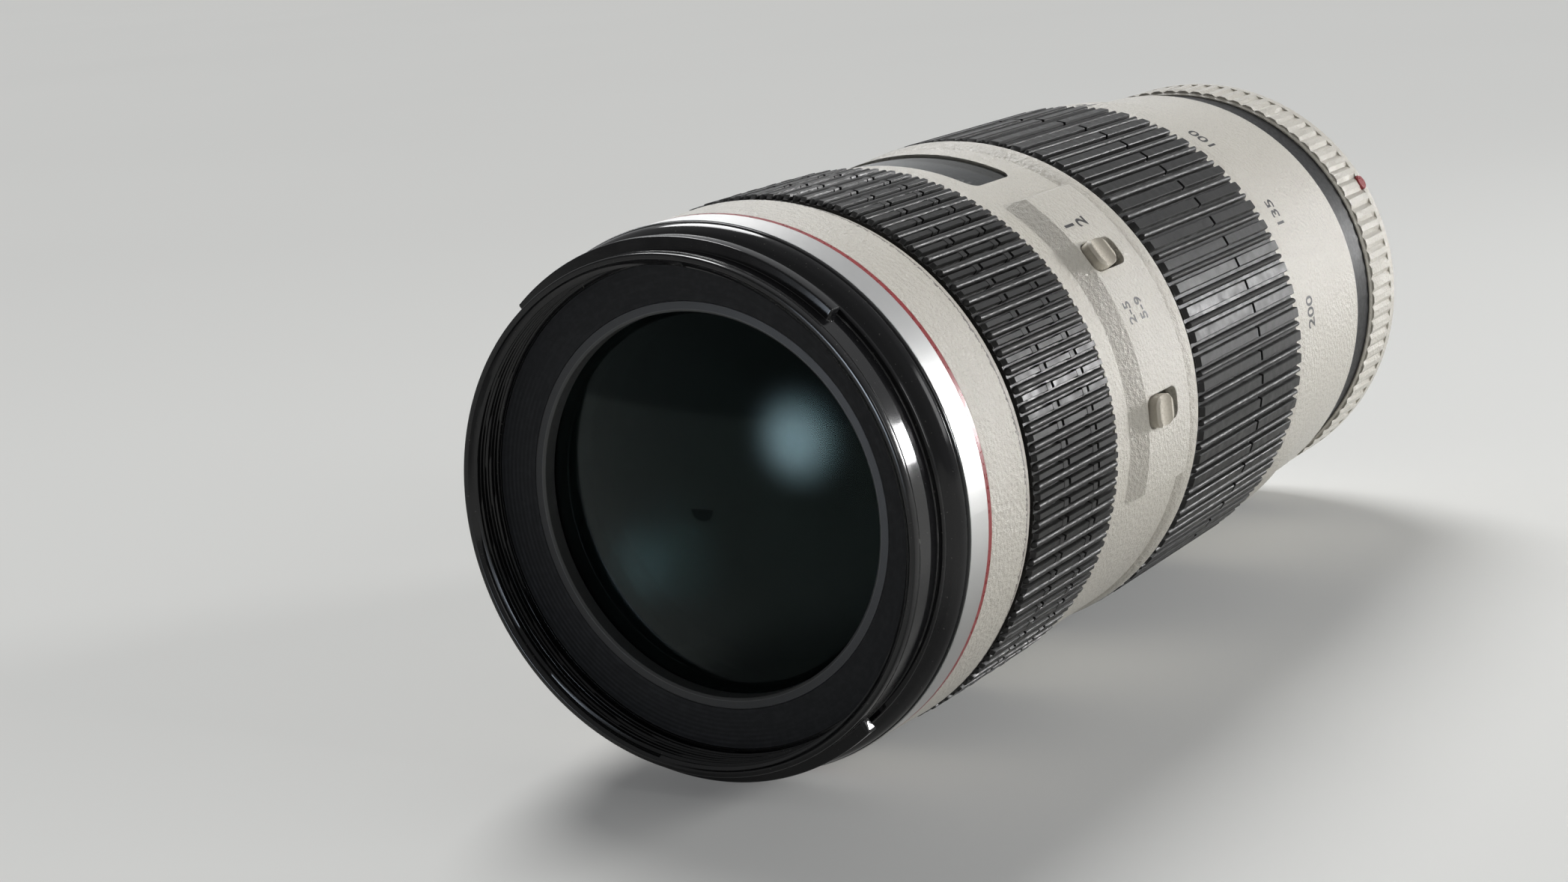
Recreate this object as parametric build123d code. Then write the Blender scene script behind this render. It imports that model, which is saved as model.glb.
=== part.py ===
from build123d import *
import os
from math import asin, cos, degrees, radians, sin, sqrt

# White telephoto zoom lens with internal zoom and internal focus.
# The optical axis is Y: the front rim looks along -Y, the bayonet along +Y.
# The origin is the centre of the mount flange, and the distance window is at +Z.
# Stations are distances behind the front rim. Angles run from +X towards +Z.

# Outer sections in their order from the front rim to the mount flange
rim_length = 4.2
hood_groove_length = 2.1
shoulder_length = 3.5
name_ring_length = 4.6
red_ring_length = 0.9
front_barrel_length = 11.0
barrel_gap = 0.9
focus_grip_length = 24.9
body_gap = 0.3
body_lip_length = 3.9
switch_slot_inset = 3.9
switch_knob_length = 5.2
switch_travel = 4.0
panel_rear_margin = 5.2
bead_groove_length = 0.9
bead_length = 4.4
zoom_gap = 0.5
zoom_grip_length = 39.4
scale_band_length = 10.6
seat_gap = 0.3
collar_seat_length = 20.9
rear_groove_length = 8.1
mount_ring_length = 10.7
flange_step = 1.0

# Clearances
push_fit = 0.05
running_fit = 0.05
end_play = 0.3
overrun = 2.0
edge_break = 0.3

rim_end = rim_length
shoulder_start = rim_end + hood_groove_length
shoulder_end = shoulder_start + shoulder_length
name_ring_end = shoulder_end + name_ring_length
red_ring_end = name_ring_end + red_ring_length
front_barrel_end = red_ring_end + front_barrel_length
focus_grip_start = front_barrel_end + barrel_gap
focus_grip_end = focus_grip_start + focus_grip_length
body_start = focus_grip_end + body_gap
panel_start = body_start + body_lip_length
switch_slot_start = panel_start + switch_slot_inset
switch_slot_length = switch_knob_length + switch_travel + 2 * end_play
body_end = switch_slot_start + switch_slot_length + panel_rear_margin
bead_start = body_end + bead_groove_length
bead_end = bead_start + bead_length
zoom_grip_start = bead_end + zoom_gap
zoom_grip_end = zoom_grip_start + zoom_grip_length
zoom_ring_end = zoom_grip_end + scale_band_length
seat_start = zoom_ring_end + seat_gap
seat_end = seat_start + collar_seat_length
mount_ring_start = seat_end + rear_groove_length
mount_ring_end = mount_ring_start + mount_ring_length
overall_length = mount_ring_end + flange_step

# Filter ring: female filter thread, hood bayonet with two lugs, rounded shoulder
filter_thread_diameter = 67.0
filter_thread_pitch = 0.75
thread_depth_share = 0.5413
rim_mouth_flare = 0.35
rim_mouth_depth = 0.8
rim_wall = 0.95
filter_thread_depth = 5.6
filter_land_height = 0.394
hood_groove_depth = 0.3
hood_lug_height = 1.6
hood_lug_overlap = 1.3
hood_lug_length = 2.0
hood_lug_arc = 85.0
hood_lug_count = 2
shoulder_step = 0.8
shoulder_rise = 2.45
shoulder_lip = 0.5
shoulder_crown_shares = (0.75, 0.42)

filter_thread_radius = filter_thread_diameter / 2 - thread_depth_share * filter_thread_pitch
filter_relief_radius = filter_thread_radius - filter_land_height
rim_mouth_radius = filter_thread_diameter / 2 + rim_mouth_flare
rim_radius = rim_mouth_radius + rim_wall
hood_floor_radius = rim_radius - hood_groove_depth
hood_lug_radius = rim_radius + hood_lug_height
hood_lug_start = rim_end - hood_lug_overlap
shoulder_foot_radius = hood_floor_radius + shoulder_step
shoulder_radius = rim_radius + shoulder_rise

# Front barrel with the neck that carries the name ring and the red ring
shoulder_overhang = 0.1
front_barrel_taper = 0.3
front_barrel_wall = 1.6
front_bevel_length = 1.7
front_bevel_depth = 0.5
name_ring_wall = 1.9
neck_wall = 2.0

front_barrel_front_radius = shoulder_radius + shoulder_overhang
front_barrel_radius = front_barrel_front_radius + front_barrel_taper
front_flange_radius = front_barrel_radius - front_barrel_wall - push_fit
neck_radius = front_barrel_front_radius - name_ring_wall - push_fit
neck_bore_radius = neck_radius - neck_wall

# Grips, sleeves and bearing lands that share one outer radius
grip_rise = 0.35
grip_thickness = 1.5
sleeve_thickness = 1.3
land_height = 0.4
tube_wall = 1.25

grip_radius = front_barrel_radius + grip_rise
sleeve_radius = grip_radius - grip_thickness
sleeve_bore_radius = sleeve_radius - sleeve_thickness
land_radius = sleeve_bore_radius - running_fit
main_tube_radius = land_radius - land_height
shell_bore_radius = main_tube_radius + push_fit
main_tube_bore_radius = main_tube_radius - tube_wall

# Front lens cell, retaining ring and front group
cell_face_gap = 0.2
cell_face_depth = 0.7
front_cell_wall = 6.45
retainer_step = 0.5
retainer_length = 2.3
front_glass_clearance = 0.1
front_crown_thickness = 8.5
front_flint_thickness = 4.8
front_glass_sag = 3.4
front_joint_sag = 2.6
front_glass_rear_sag = 1.4
cell_lip = 0.9

cell_face_start = filter_thread_depth + cell_face_gap
front_glass_radius = neck_bore_radius - push_fit - front_cell_wall
retainer_bore_radius = front_glass_radius - cell_lip
retainer_radius = front_glass_radius + retainer_step
front_glass_vertex = filter_thread_depth + front_glass_clearance
front_glass_joint = front_glass_vertex + front_crown_thickness
front_glass_rear = front_glass_joint + front_flint_thickness

# Main tube: the backbone of the lens
motor_inset = 3.3
front_flange_thickness = 4.0
mid_flange_clearance = 0.6
mid_flange_thickness = 3.0
main_tube_overlap = 2.2
land_length = 4.0
land_inset = 3.0
key_width = 5.0
key_length = 4.5
key_inset = 15.0
key_angle = -135.0

# Focus drive: motor, rollers, sleeve, output ring
focus_turn = 150.0
output_share = 0.5
focus_travel = 9.0
housing_flange_thickness = 2.0
housing_wall = 1.4
housing_land_length = 1.5
stator_length = 6.0
rotor_length = 4.0
motor_housing_gap = 0.45
motor_width = 2.2
motor_clearance = 0.65
motor_gap = 0.05
roller_radius = 3.15
roller_axle_radius = 0.9
roller_count = 3
roller_angle = 97.5
drive_flange_thickness = 2.0
output_flange_thickness = 1.5
output_wall = 1.4
cam_end_margin = 1.25
scale_drum_clearance = 0.7
scale_drum_thickness = 0.7
scale_drum_shortfall = 0.3
scale_drum_start_angle = -14.0
scale_drum_arc = 132.0

# Focus group; sag shares are the front and rear surface's sags over the element's radius
focus_sag_shares = ((0.036, 0.024), (0.028, 0.02))
focus_cell_length = 10.0
focus_cell_wall = 2.75
focus_follower_inset = 4.0
follower_radius = 1.5
follower_root = 1.4
follower_angle = 0.0
follower_count = 3

# Body shell with distance window and switch panel
shell_wall = 2.5
panel_height = 1.6
panel_centre_angle = 20.3
panel_half_angle = 36.3
panel_front_slope = 3.7
panel_rear_slope = 1.2
panel_end_slope = 0.9
window_inset = 11.5
window_width = 30.6
window_length = 11.6
window_corner_radius = 1.8
pane_thickness = 1.3
pane_recess = 0.3
switch_slot_width = 4.7
switch_corner_radius = 1.5
switch_knob_width = 4.4
switch_knob_rise = 1.5
switch_knob_bevel = 0.4
switch_dish_length = 3.4
switch_dish_depth = 0.6
switch_base_width = 6.4
switch_base_length = 7.6
switch_base_thickness = 0.9
pocket_clearance = 0.5
panel_wall = 1.7
board_thickness = 0.8
af_switch_angle = 37.0
limiter_switch_angle = 2.3

# Bead ring between body and zoom ring
bead_foot_wall = 2.1
bead_rise = 1.0
bead_peak_share = 0.74
bead_front_shares = (0.5, 0.72)
bead_rear_shares = (0.6, 0.62)

# Grip ribs
focus_rib_count = 90
focus_flat_share = 0.38
focus_round_share = 0.36
focus_gap_share = 0.13
zoom_rib_count = 64
zoom_flat_share = 0.47
zoom_round_share = 0.25
zoom_gap_share = 0.14
rib_height = 0.8
round_rib_drop = 0.1

# Zoom drive: sleeve with focal length band, cam tube, guide tube
zoom_turn = 85.0
scale_band_rise = 0.8
scale_band_slope = 3.2
cam_wall = 1.35
guide_flange_width = 6.4
guide_wall = 1.2
guide_reach = 13.0
guide_flange_thickness = 2.0
guide_margin = 6.5
rear_web_thickness = 2.5

# Zoom groups
variator_sag_shares = ((-0.045, -0.05), (-0.04, 0.033))
compensator_sag_shares = ((0.047, 0.053), (0.053, 0.024))
variator_inset = 1.2
variator_length = 10.0
variator_travel = 27.0
variator_follower_inset = 3.0
variator_cell_wall = 2.9
group_gap = 1.5
compensator_length = 10.0
compensator_travel = 9.0
compensator_follower_inset = 5.5
compensator_cell_wall = 3.9
compensator_angle = 60.0

# Iris: housing, blades in flat layers, drive ring
blade_count = 8
iris_plate_thickness = 1.0
iris_stop_width = 7.2
iris_wall = 1.2
iris_length = 4.5
blade_thickness = 0.15
blade_layer_pitch = 0.25
blade_first_layer = 0.1
pivot_inset = 1.0
pivot_radius = 0.6
pivot_fit = 0.08
peg_arm = 4.0
peg_radius = 0.6
peg_slot_fit = 0.1
blade_swing = 36.0
blade_cover = 0.2
blade_width = 3.0
blade_arc_start = -8.0
blade_arc_end = 66.0
blade_tab_width = 3.6
drive_ring_clearance = 1.6
drive_ring_inset = 3.3
drive_ring_thickness = 1.0

# Rear group
rear_sag_shares = ((0.07, 0.045), (-0.045, 0.065))
rear_cell_wall = 1.75
rear_glass_inset = 6.9
rear_cell_length = 21.0
rear_flange_thickness = 2.0

# Rear barrel and rear tube
collar_seat_wall = 1.0
flange_overhang = 2.2
rear_tube_wall = 1.8
spigot_wall = 0.45
spigot_length = 6.0
rear_inner_flange_thickness = 3.5
board_ledge_depth = 0.7
board_ledge_inset = 3.9
main_board_thickness = 1.2
main_board_width = 9.85
main_board_gap_arc = 70.0

# Mount ring, index dot, mount plate and contacts
mount_ring_wall = 0.85
knurl_count = 90
knurl_depth = 0.35
knurl_tip_shares = (0.3, 0.7)
knurl_inset = 0.4
knurl_length = 8.3
mount_ring_rear_thickness = 1.0
index_dot_radius = 1.3
index_dot_rise = 0.25
index_dot_bevel = 0.15
index_dot_depth = 0.7
index_dot_inset = 1.6
index_dot_angle = 30.0
flange_width = 7.9
flange_thickness = 2.0
throat_radius = 24.6
throat_wall = 1.8
throat_length = 5.6
claw_height = 2.2
claw_gap = 2.2
claw_thickness = 1.7
claw_arc = 58.0
claw_count = 3
claw_angle = 90.0
mount_screw_inset = 2.9
mount_screw_edge = 2.4
mount_screw_count = 4
mount_screw_angle = 45.0
screw_head_radius = 1.6
screw_head_height = 0.9
screw_shank_radius = 0.85
screw_length = 4.2
lock_hole_radius = 1.5
lock_hole_angle = 150.0
baffle_depth = 6.3
baffle_length = 6.0
baffle_wall = 1.0
baffle_flange_thickness = 1.6
contact_arc = 64.0
contact_block_depth = 4.4
contact_block_length = 6.6
contact_pin_count = 8
contact_pin_radius = 0.8
contact_pin_rise = 0.6
contact_pin_root = 3.3
contact_pin_spread = 50.0

# Stations and radii that follow from the sizes above
front_flange_end = focus_grip_start - motor_inset
front_flange_start = front_flange_end - front_flange_thickness
window_centre_station = body_start + window_inset
scale_drum_end = window_centre_station + window_length / 2 - scale_drum_shortfall
mid_flange_start = scale_drum_end + mid_flange_clearance
mid_flange_end = mid_flange_start + mid_flange_thickness
main_tube_end = seat_end - main_tube_overlap
key_start = zoom_grip_start + key_inset

motor_radius = land_radius - end_play - housing_wall - motor_housing_gap
motor_bore_radius = motor_radius - motor_width
output_radius = motor_bore_radius - motor_clearance
output_bore_radius = output_radius - output_wall
nose_radius = output_bore_radius - running_fit
nose_bore_radius = nose_radius - tube_wall
output_flange_radius = shell_bore_radius - scale_drum_clearance
roller_length = motor_width - end_play
stator_start = front_flange_end + housing_flange_thickness
rotor_start = stator_start + stator_length + motor_gap
rotor_end = rotor_start + rotor_length
roller_station = rotor_end + motor_gap + roller_radius
drive_flange_start = roller_station + roller_radius + motor_gap
housing_end = drive_flange_start - end_play
output_start = stator_start + end_play
output_end = body_start
output_turn = focus_turn * output_share
follower_slot_width = 2 * (follower_radius + running_fit)

focus_slide_radius = nose_bore_radius - running_fit
focus_glass_radius = focus_slide_radius - focus_cell_wall - push_fit
focus_front_station = output_start + cam_end_margin + follower_slot_width / 2
focus_follower_station = focus_front_station + focus_travel
focus_cell_start = focus_follower_station - focus_follower_inset

body_radius = shell_bore_radius + shell_wall
panel_radius = body_radius + panel_height
pocket_roof_radius = panel_radius - panel_wall
board_seat_radius = shell_bore_radius + board_thickness
pocket_width = switch_base_width + 2 * pocket_clearance
pocket_overhang = (switch_base_length - switch_knob_length) / 2 + pocket_clearance
pocket_start = switch_slot_start - pocket_overhang
pocket_end = switch_slot_start + switch_slot_length + pocket_overhang
bead_foot_radius = shell_bore_radius + bead_foot_wall
bead_radius = bead_foot_radius + bead_rise

scale_band_radius = sleeve_radius + scale_band_rise
guide_bore_radius = nose_bore_radius - push_fit - guide_flange_width
guide_radius = guide_bore_radius + guide_wall
cam_bore_radius = guide_radius + running_fit
cam_radius = cam_bore_radius + cam_wall
slide_radius = guide_bore_radius - running_fit
variator_glass_radius = slide_radius - variator_cell_wall - push_fit
compensator_glass_radius = slide_radius - compensator_cell_wall - push_fit
guide_start = mid_flange_start - guide_reach
cam_start = guide_start + guide_flange_thickness + end_play
variator_start = cam_start + variator_inset
variator_follower_station = variator_start + variator_follower_inset
compensator_front = variator_start + variator_length + variator_travel + group_gap
compensator_start = compensator_front + compensator_travel
compensator_follower_station = compensator_start + compensator_follower_inset
guide_end = compensator_start + compensator_length + guide_margin
cam_end = guide_end - rear_web_thickness - end_play

iris_bore_radius = guide_bore_radius - iris_stop_width
blade_inner_radius = iris_bore_radius + blade_cover
blade_outer_radius = blade_inner_radius + blade_width
pivot_circle_radius = blade_outer_radius + pivot_inset
peg_start_angle = -blade_swing / 2
iris_wall_bore_radius = pivot_circle_radius + peg_arm + blade_tab_width / 2 + end_play
drive_ring_bore_radius = pivot_circle_radius + drive_ring_clearance
iris_end = guide_end + iris_length
rear_glass_radius = iris_wall_bore_radius - rear_glass_inset
rear_cell_radius = rear_glass_radius + push_fit + rear_cell_wall

collar_seat_radius = shell_bore_radius + collar_seat_wall
flange_radius = throat_radius + flange_width
rear_tube_radius = flange_radius + flange_overhang
spigot_radius = main_tube_bore_radius - push_fit
spigot_bore_radius = spigot_radius - spigot_wall
board_ledge_radius = rear_tube_radius - rear_tube_wall + board_ledge_depth
board_ledge_start = seat_end + board_ledge_inset
main_board_bore_radius = board_ledge_radius - push_fit - main_board_width
mount_ring_radius = rear_tube_radius + push_fit + mount_ring_wall
flange_start = overall_length - flange_thickness
mount_screw_circle_radius = flange_radius - mount_screw_inset
rear_web_bore_radius = mount_screw_circle_radius - mount_screw_edge
throat_bore_radius = throat_radius - throat_wall
claw_radius = throat_radius + claw_height
baffle_bore_radius = throat_bore_radius - baffle_depth
baffle_start = flange_start - baffle_length
contact_inner_radius = throat_bore_radius - contact_block_depth
contact_pin_circle_radius = (contact_inner_radius + throat_bore_radius) / 2


def at(radius, station):
    """Profile point from its distance to the axis and its station behind the rim."""
    return (radius, station - overall_length)


def turned(*outline):
    """Solid of revolution about the optical axis from (radius, station) corners."""
    corners = [at(radius, station) for radius, station in outline]
    return revolve(make_face(Polyline(*corners, close=True)), Axis.Y)


def tube(bore, outside, start, end):
    """Plain tube between two stations."""
    return turned((bore, start), (outside, start), (outside, end), (bore, end))


def swung(angle, shape):
    """Shape turned about the optical axis, from +X towards +Z."""
    return Rot(0, -angle, 0) * shape


def around(count, first_angle, shape):
    """List of copies spaced evenly about the optical axis."""
    return [swung(first_angle + 360 / count * index, shape) for index in range(count)]


def radial_pin(radius, inner, outer, station):
    """Round pin that points away from the axis along +X."""
    place = Pos((inner + outer) / 2, station - overall_length, 0)
    return place * Rot(0, 90, 0) * Cylinder(radius, outer - inner)


def axial_pin(radius, off_axis, start, end):
    """Round pin parallel to the axis, standing off it along +X."""
    place = Pos(off_axis, (start + end) / 2 - overall_length, 0)
    return place * Rot(90, 0, 0) * Cylinder(radius, end - start)


def radial_block(width, inner, outer, start, end):
    """Box that points away from the axis along +X, width across it."""
    place = Pos((inner + outer) / 2, (start + end) / 2 - overall_length, 0)
    return place * Box(outer - inner, end - start, width)


def radial_slot(width, inner, outer, start, end):
    """Cutter with round ends, cut along +X, long way parallel to the axis."""
    outline = SlotOverall(end - start, width)
    place = Plane.YZ.offset(inner) * Pos((start + end) / 2 - overall_length, 0)
    return extrude(place * outline, outer - inner)


def wedge(inner, outer, start, end, first_angle, last_angle):
    """Sector of a tube between two angles."""
    corners = [at(inner, start), at(outer, start), at(outer, end), at(inner, end)]
    sector = revolve(make_face(Polyline(*corners, close=True)), Axis.Y, last_angle - first_angle)
    return swung(last_angle, sector)


def helical_slot(width, inner, outer, start, travel, turn, right_hand):
    """Cutter for a cam slot that starts at +X and climbs rearwards by travel."""
    middle_radius = (inner + outer) / 2
    path = Helix(travel * 360 / turn, travel, middle_radius, lefthand=not right_hand)
    section = Plane(origin=path @ 0, x_dir=(1, 0, 0), z_dir=path % 0)
    groove = sweep(section * Rectangle(outer - inner, width), path=path, is_frenet=True)
    groove = Pos(0, start - overall_length, 0) * Rot(-90, 0, 0) * groove
    end_angle = -turn if right_hand else turn
    first_end = radial_pin(width / 2, inner, outer, start)
    last_end = swung(end_angle, radial_pin(width / 2, inner, outer, start + travel))
    return [groove, first_end, last_end]


def ribbed(bore, start, end, periods, shares, tops):
    """Rubber grip whose ribs run along the axis, two ribs in each period."""
    floor = grip_radius - rib_height
    corners = []
    for period in range(periods):
        angle = 360 / periods * period
        for share, gap_share, top in shares_with_tops(shares, tops):
            width = 360 / periods * share
            for radius, place in ((floor, 0), (top, 0), (top, width), (floor, width)):
                corners.append(polar(radius, angle + place))
            angle += width + 360 / periods * gap_share
    section = Plane(origin=(0, start - overall_length, 0), x_dir=(1, 0, 0), z_dir=(0, 1, 0))
    outline = make_face(Polyline(*corners, close=True)) - Circle(bore)
    return extrude(section * outline, end - start)


def shares_with_tops(shares, tops):
    """Pairs each rib's share of a period with its gap and its top radius."""
    flat_share, round_share, gap_share = shares
    remaining_share = 1 - flat_share - round_share - gap_share
    return ((flat_share, gap_share, tops[0]), (round_share, remaining_share, tops[1]))


def polar(radius, angle):
    """Point of a section across the axis."""
    return (radius * cos(radians(angle)), radius * sin(radians(angle)))


def lens_element(radius, front, rear, front_sag, rear_sag):
    """Glass element between two vertex stations; a positive sag is convex."""
    front_line = sagged_arc(radius, front, front_sag, 1)
    rear_line = sagged_arc(radius, rear, rear_sag, -1)
    rim = Line(at(radius, front + front_sag), at(radius, rear - rear_sag))
    axis = Line(at(0, rear), at(0, front))
    return revolve(make_face(front_line + rim + rear_line + axis), Axis.Y)


def sagged_arc(radius, vertex, sag, direction):
    """Lens surface from the axis out to the rim."""
    curvature_radius = (radius * radius + sag * sag) / (2 * abs(sag))
    middle_sag = curvature_radius - sqrt(curvature_radius ** 2 - radius ** 2 / 4)
    step = direction if sag > 0 else -direction
    middle = at(radius / 2, vertex + step * middle_sag)
    return ThreePointArc(at(0, vertex), middle, at(radius, vertex + direction * sag))


def make_filter_ring():
    """Black front ring: lead-in, filter thread bore, hood lugs and glossy shoulder."""
    outer = Polyline(
        at(filter_relief_radius, shoulder_end),
        at(filter_relief_radius, filter_thread_depth),
        at(filter_thread_radius, filter_thread_depth),
        at(filter_thread_radius, rim_mouth_depth),
        at(rim_mouth_radius, 0),
        at(rim_radius - edge_break, 0),
        at(rim_radius, edge_break),
        at(rim_radius, rim_end),
        at(hood_floor_radius, rim_end),
        at(hood_floor_radius, shoulder_start),
        at(shoulder_foot_radius, shoulder_start),
    )
    lip_start = shoulder_end - shoulder_lip
    rise_share, run_share = shoulder_crown_shares
    crown_radius = shoulder_foot_radius + rise_share * (shoulder_radius - shoulder_foot_radius)
    crown_station = shoulder_start + run_share * (lip_start - shoulder_start)
    crown = ThreePointArc(
        at(shoulder_foot_radius, shoulder_start),
        at(crown_radius, crown_station),
        at(shoulder_radius, lip_start),
    )
    back = Polyline(
        at(shoulder_radius, lip_start),
        at(shoulder_radius, shoulder_end),
        at(filter_relief_radius, shoulder_end),
    )
    ring = revolve(make_face(outer + crown + back), Axis.Y)
    for index in range(hood_lug_count):
        centre = 90 + 360 / hood_lug_count * index
        ring += wedge(
            hood_floor_radius - edge_break,
            hood_lug_radius,
            hood_lug_start,
            hood_lug_start + hood_lug_length,
            centre - hood_lug_arc / 2,
            centre + hood_lug_arc / 2,
        )
    return ring


def make_name_ring():
    """Silver ring behind the shoulder, bare of lettering."""
    return tube(neck_radius + push_fit, front_barrel_front_radius, shoulder_end, name_ring_end)


def make_red_ring():
    """Thin red ring between the silver ring and the white barrel."""
    return tube(neck_radius + push_fit, front_barrel_front_radius, name_ring_end, red_ring_end)


def make_front_barrel():
    """White front barrel with its neck and the bevel before the focus ring."""
    return turned(
        (neck_bore_radius, shoulder_end),
        (neck_radius, shoulder_end),
        (neck_radius, red_ring_end),
        (front_barrel_front_radius, red_ring_end),
        (front_barrel_radius, front_barrel_end - front_bevel_length),
        (front_barrel_radius - front_bevel_depth, front_barrel_end),
        (front_flange_radius + push_fit, front_barrel_end),
        (front_flange_radius + push_fit, front_flange_start),
        (neck_bore_radius, front_flange_start),
    )


def make_front_cell():
    """Black cell that holds the front glass, with the dished face in front."""
    cell_radius = filter_relief_radius - push_fit
    body_outer = neck_bore_radius - push_fit
    face_end = cell_face_start + cell_face_depth
    lip_share = (front_glass_radius - cell_lip) / front_glass_radius
    glass_seat = front_glass_rear - front_glass_rear_sag * lip_share ** 2
    return turned(
        (cell_radius, cell_face_start),
        (cell_radius, shoulder_end),
        (body_outer, shoulder_end),
        (body_outer, front_flange_start),
        (front_glass_radius - cell_lip, front_flange_start),
        (front_glass_radius - cell_lip, glass_seat),
        (front_glass_radius + push_fit, glass_seat),
        (front_glass_radius + push_fit, face_end + retainer_length),
        (retainer_radius + push_fit, face_end + retainer_length),
        (retainer_radius + push_fit, face_end),
    )


def make_front_retainer():
    """Threaded retaining ring round the front glass."""
    start = cell_face_start + cell_face_depth
    return turned(
        (retainer_bore_radius + edge_break, start),
        (retainer_radius, start),
        (retainer_radius, start + retainer_length),
        (retainer_bore_radius, start + retainer_length),
        (retainer_bore_radius, start + edge_break),
    )


def make_front_glass():
    """Cemented front doublet."""
    crown = lens_element(
        front_glass_radius, front_glass_vertex, front_glass_joint, front_glass_sag, front_joint_sag
    )
    flint = lens_element(
        front_glass_radius, front_glass_joint, front_glass_rear, -front_joint_sag, front_glass_rear_sag
    )
    return Compound([crown, flint])


def make_main_tube():
    """Backbone: nose tube, front and middle flange, wide tube with bearing lands."""
    front_land = zoom_grip_start + land_inset
    rear_land = zoom_grip_end - land_inset - land_length
    body = turned(
        (nose_bore_radius, front_flange_start),
        (front_flange_radius, front_flange_start),
        (front_flange_radius, front_flange_end),
        (nose_radius, front_flange_end),
        (nose_radius, mid_flange_start),
        (main_tube_radius, mid_flange_start),
        (main_tube_radius, front_land),
        (land_radius, front_land),
        (land_radius, front_land + land_length),
        (main_tube_radius, front_land + land_length),
        (main_tube_radius, rear_land),
        (land_radius, rear_land),
        (land_radius, rear_land + land_length),
        (main_tube_radius, rear_land + land_length),
        (main_tube_radius, main_tube_end),
        (main_tube_bore_radius, main_tube_end),
        (main_tube_bore_radius, mid_flange_end),
        (nose_bore_radius, mid_flange_end),
    )
    slot = radial_slot(
        follower_slot_width,
        nose_bore_radius - overrun,
        nose_radius + overrun,
        focus_front_station - follower_slot_width / 2,
        focus_follower_station + follower_slot_width / 2,
    )
    body -= around(follower_count, follower_angle, slot)
    key_margin = degrees(asin((key_width / 2 + end_play) / main_tube_bore_radius))
    return body - wedge(
        main_tube_bore_radius - overrun,
        land_radius + overrun,
        key_start - end_play,
        key_start + key_length + end_play,
        key_angle - key_margin,
        key_angle + zoom_turn + key_margin,
    )


def make_focus_housing():
    """Motor housing with the two lands that the focus ring turns on."""
    outside = land_radius - end_play
    rear_land = housing_end - housing_land_length
    flange_end = front_flange_end + housing_flange_thickness
    return turned(
        (nose_radius + push_fit, front_flange_end),
        (land_radius, front_flange_end),
        (land_radius, front_flange_end + land_length),
        (outside, front_flange_end + land_length),
        (outside, rear_land),
        (land_radius, rear_land),
        (land_radius, housing_end),
        (outside - housing_wall, housing_end),
        (outside - housing_wall, flange_end),
        (nose_radius + push_fit, flange_end),
    )


def make_usm_stator():
    """Vibrating ring of the ultrasonic motor."""
    return tube(motor_bore_radius, motor_radius, stator_start, stator_start + stator_length)


def make_usm_rotor():
    """Friction ring that the stator drives."""
    return tube(motor_bore_radius, motor_radius, rotor_start, rotor_end)


def make_roller():
    """Roller of the differential between rotor and manual drive flange."""
    outer = motor_bore_radius + roller_length
    body = radial_pin(roller_radius, motor_bore_radius, outer, roller_station)
    bore_radius = roller_axle_radius + running_fit
    return body - radial_pin(
        bore_radius, motor_bore_radius - overrun, outer + overrun, roller_station
    )


def make_focus_sleeve():
    """Metal sleeve of the focus ring with its inner drive flange."""
    return turned(
        (sleeve_bore_radius, focus_grip_start),
        (sleeve_radius, focus_grip_start),
        (sleeve_radius, focus_grip_end),
        (sleeve_bore_radius, focus_grip_end),
        (sleeve_bore_radius, drive_flange_start + drive_flange_thickness),
        (motor_bore_radius, drive_flange_start + drive_flange_thickness),
        (motor_bore_radius, drive_flange_start),
        (sleeve_bore_radius, drive_flange_start),
    )


def make_focus_grip():
    """Rubber grip of the focus ring."""
    shares = (focus_flat_share, focus_round_share, focus_gap_share)
    tops = (grip_radius, grip_radius - round_rib_drop)
    return ribbed(
        sleeve_radius + push_fit, focus_grip_start, focus_grip_end, focus_rib_count, shares, tops
    )


def make_focus_cam():
    """Output ring: cam slots for the focus group, roller axles, rear flange."""
    flange_start_station = output_end - output_flange_thickness
    body = turned(
        (output_bore_radius, output_start),
        (output_radius, output_start),
        (output_radius, flange_start_station),
        (output_flange_radius, flange_start_station),
        (output_flange_radius, output_end),
        (output_bore_radius, output_end),
    )
    groove = helical_slot(
        follower_slot_width,
        output_bore_radius - overrun,
        output_radius + overrun,
        focus_front_station,
        focus_travel,
        output_turn,
        False,
    )
    for cutter in groove:
        body -= around(follower_count, follower_angle - output_turn, cutter)
    axle = radial_pin(
        roller_axle_radius,
        (output_bore_radius + output_radius) / 2,
        motor_radius,
        roller_station,
    )
    body += around(roller_count, roller_angle - output_turn, axle)
    return body


def make_distance_scale():
    """Drum sector with the distance figures, seen through the window."""
    return wedge(
        output_flange_radius - scale_drum_thickness,
        output_flange_radius,
        output_end,
        scale_drum_end,
        scale_drum_start_angle,
        scale_drum_start_angle + scale_drum_arc,
    )


def make_cell(start, length, glass_radius, outside, station, first_angle):
    """Sliding lens cell with holes for its three followers."""
    end = start + length
    body = turned(
        (glass_radius + push_fit, start),
        (outside, start),
        (outside, end),
        (glass_radius - cell_lip, end),
        (glass_radius - cell_lip, end - cell_lip),
        (glass_radius + push_fit, end - cell_lip),
    )
    hole = radial_pin(
        follower_radius + push_fit, outside - follower_root, outside + overrun, station
    )
    return body - around(follower_count, first_angle, hole)


def make_followers(outside, cam_outer_radius, station, first_angle):
    """Three rollers that reach from the cell through guide and cam."""
    pin = radial_pin(
        follower_radius, outside - follower_root + push_fit, cam_outer_radius - push_fit, station
    )
    return Compound(around(follower_count, first_angle, pin))


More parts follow.
